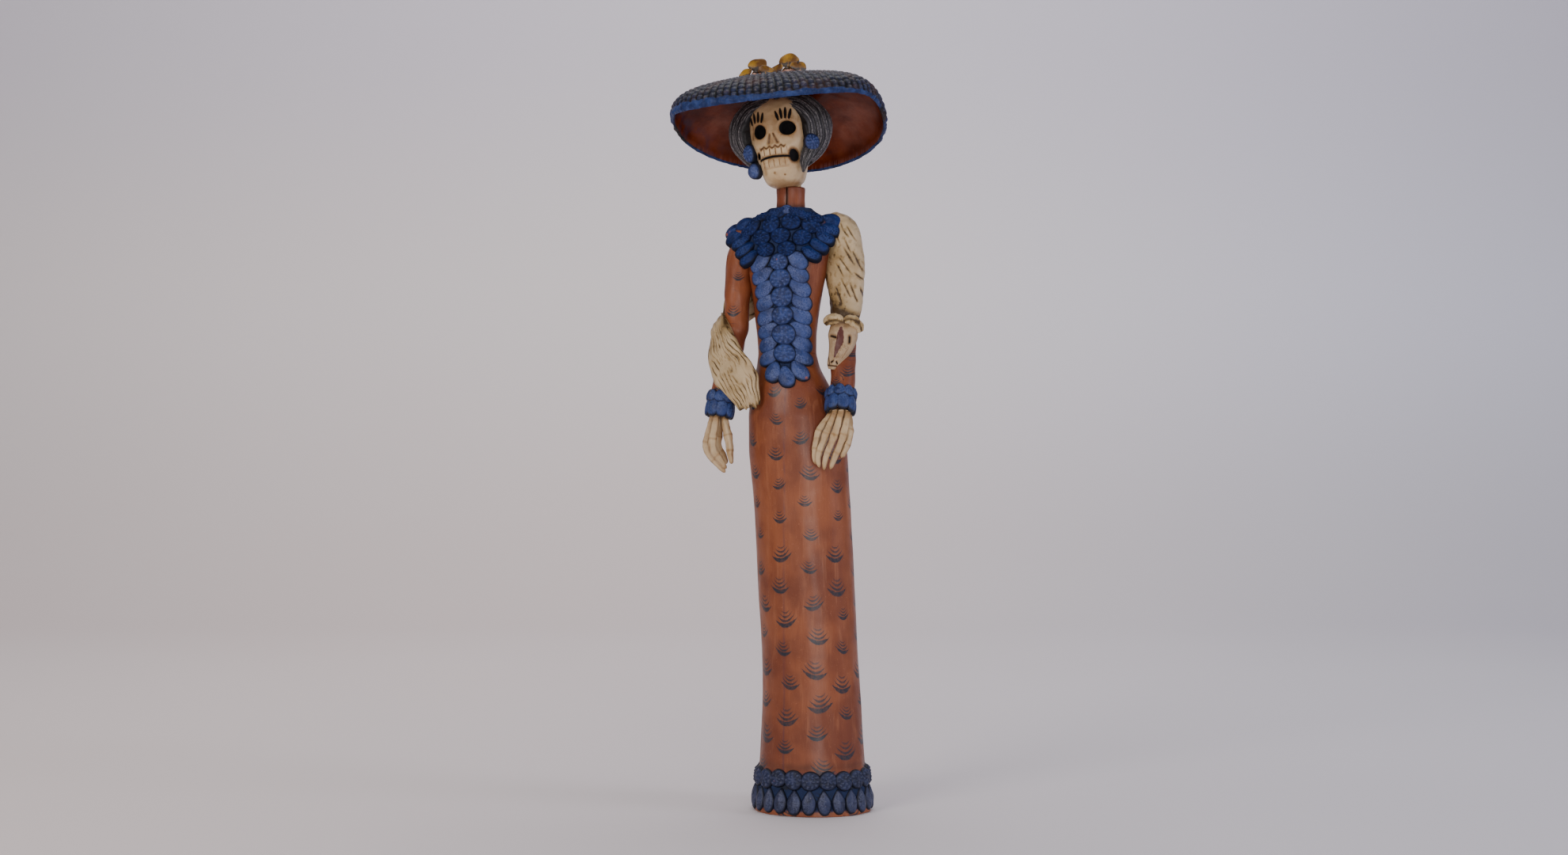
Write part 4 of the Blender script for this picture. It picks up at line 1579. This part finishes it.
# Lamps: to the side, toward the camera, height, size, power, colour
LAMPS = {
    "key": (-1.1, 1.35, 0.95, 0.7, 14.2, (1.0, 0.95, 0.88)),
    "front": (0.3, 1.8, 0.32, 0.6, 9.8, (1.0, 0.96, 0.91)),
    "fill": (1.6, 0.6, 0.8, 0.6, 9.0, (0.86, 0.87, 1.0)),
    "top": (0.1, -0.2, 2.3, 1.4, 14.0, (1.0, 1.0, 1.0)),
    "backdrop": (0.0, -0.7, 1.9, 1.2, 17.0, (0.98, 0.98, 1.0))}
FOOT = Vector((STAND[0] + BASE_SHIFT, STAND[1], 0.0)) * MM
RIGHTWARD = Vector((math.cos(CAMERA_TURN), math.sin(CAMERA_TURN), 0))
TOWARD = Vector((math.sin(CAMERA_TURN), -math.cos(CAMERA_TURN), 0))


def camera():
    """A camera level with the figure's middle."""
    lens = bpy.data.cameras.new("camera")
    lens.lens = 50.0
    lens.sensor_width = 36.0
    eye = bpy.data.objects.new("camera", lens)
    eye.location = FOOT + TOWARD * CAMERA_DISTANCE - RIGHTWARD * CAMERA_SHIFT + Vector((0, 0, CAMERA_HEIGHT))
    eye.rotation_euler = (math.radians(90), 0, CAMERA_TURN)
    bpy.context.scene.collection.objects.link(eye)
    bpy.context.scene.camera = eye


def sweep_paper():
    """Matt paper, warm on one side and cool on the other, lighter up the wall than on the floor."""
    paper = Paint("sweep_paper")
    split = paper.tree.nodes.new("ShaderNodeSeparateXYZ")
    paper.feed(split.inputs[0], paper.place)
    cool = paper.between(split.outputs[0], -0.8, 0.8)
    low_tone = paper.mix(cool, (0.775, 0.675, 0.650), (0.625, 0.605, 0.665))
    high_tone = paper.mix(cool, (0.875, 0.800, 0.795), (0.790, 0.785, 0.905))
    tone = paper.mix(paper.between(split.outputs[2], 0.0, 0.5), low_tone, high_tone)
    tone = paper.mix(paper.between(split.outputs[2], 0.45, 0.95, 0.0, 0.7), tone, (0.72, 0.69, 0.80))
    tone = paper.mix(paper.between(paper.noise(1.2, 2.0), 0.3, 0.7, 0.0, 0.12), tone, (0.82, 0.80, 0.82))
    return paper.finish(tone, 0.8)


def sweep():
    """A pale floor that curves up into a wall behind the figure."""
    wall_start, bend = 1.3, 0.9
    profile = [(-3.0, 0.0), (wall_start, 0.0)]
    profile += [(wall_start + bend * math.sin(a), bend - bend * math.cos(a))
                for a in np.linspace(0.05, math.pi / 2, 24)]
    profile += [(wall_start + bend, 4.0)]
    verts = [tuple(FOOT + RIGHTWARD * side - TOWARD * back + Vector((0, 0, height)))
             for back, height in profile for side in (-6.0, 6.0)]
    faces = [(2 * i, 2 * i + 1, 2 * i + 3, 2 * i + 2) for i in range(len(profile) - 1)]
    mesh = bpy.data.meshes.new("sweep")
    mesh.from_pydata(verts, [], faces)
    mesh.shade_smooth()
    mesh.materials.append(sweep_paper())
    floor = bpy.data.objects.new("sweep", mesh)
    bpy.context.scene.collection.objects.link(floor)


def lamps():
    """Soft lamps on the figure, one on the wall behind it, and a dim sky all round."""
    for name, (side, ahead, height, size, power, colour) in LAMPS.items():
        light = bpy.data.lights.new(name, "AREA")
        light.size = size
        light.energy = power
        light.color = colour
        lamp = bpy.data.objects.new(name, light)
        lamp.location = FOOT + RIGHTWARD * side + TOWARD * ahead + Vector((0, 0, height))
        target = Vector((0, 0, 0.25)) if name != "backdrop" else Vector((0, 0, 0.5)) - TOWARD * 2.2
        lamp.rotation_euler = (FOOT + target - lamp.location).to_track_quat("-Z", "Y").to_euler()
        bpy.context.scene.collection.objects.link(lamp)
    world = bpy.data.worlds.new("studio")
    world.use_nodes = True
    sky = world.node_tree.nodes["Background"].inputs
    sky["Color"].default_value = (0.80, 0.79, 0.85, 1.0)
    sky["Strength"].default_value = 0.29
    bpy.context.scene.world = world


def main():
    camera()
    sweep()
    lamps()
    dress_shell("skirt", 0.2, WAIST - 0.05, 1.25, ["skirt_shell"])
    dress_shell("torso", WAIST + 0.05, 398.2, 0.8, ["torso_shell"])
    neck_tube()
    sleeve("right", RIGHT_ARM)
    sleeve("left", LEFT_ARM)
    hem_rows()
    bodice()
    cuffs()
    hands()
    stole()
    skull()
    hair()
    side_lock()
    ear_rosettes()
    hat()
    crown()
    flower("right", (-10.0, -24.0, 32.8), 6.4, 131)
    flower("left", (10.8, -22.0, 34.2), 6.8, 141)
    hidden_pieces()


main()
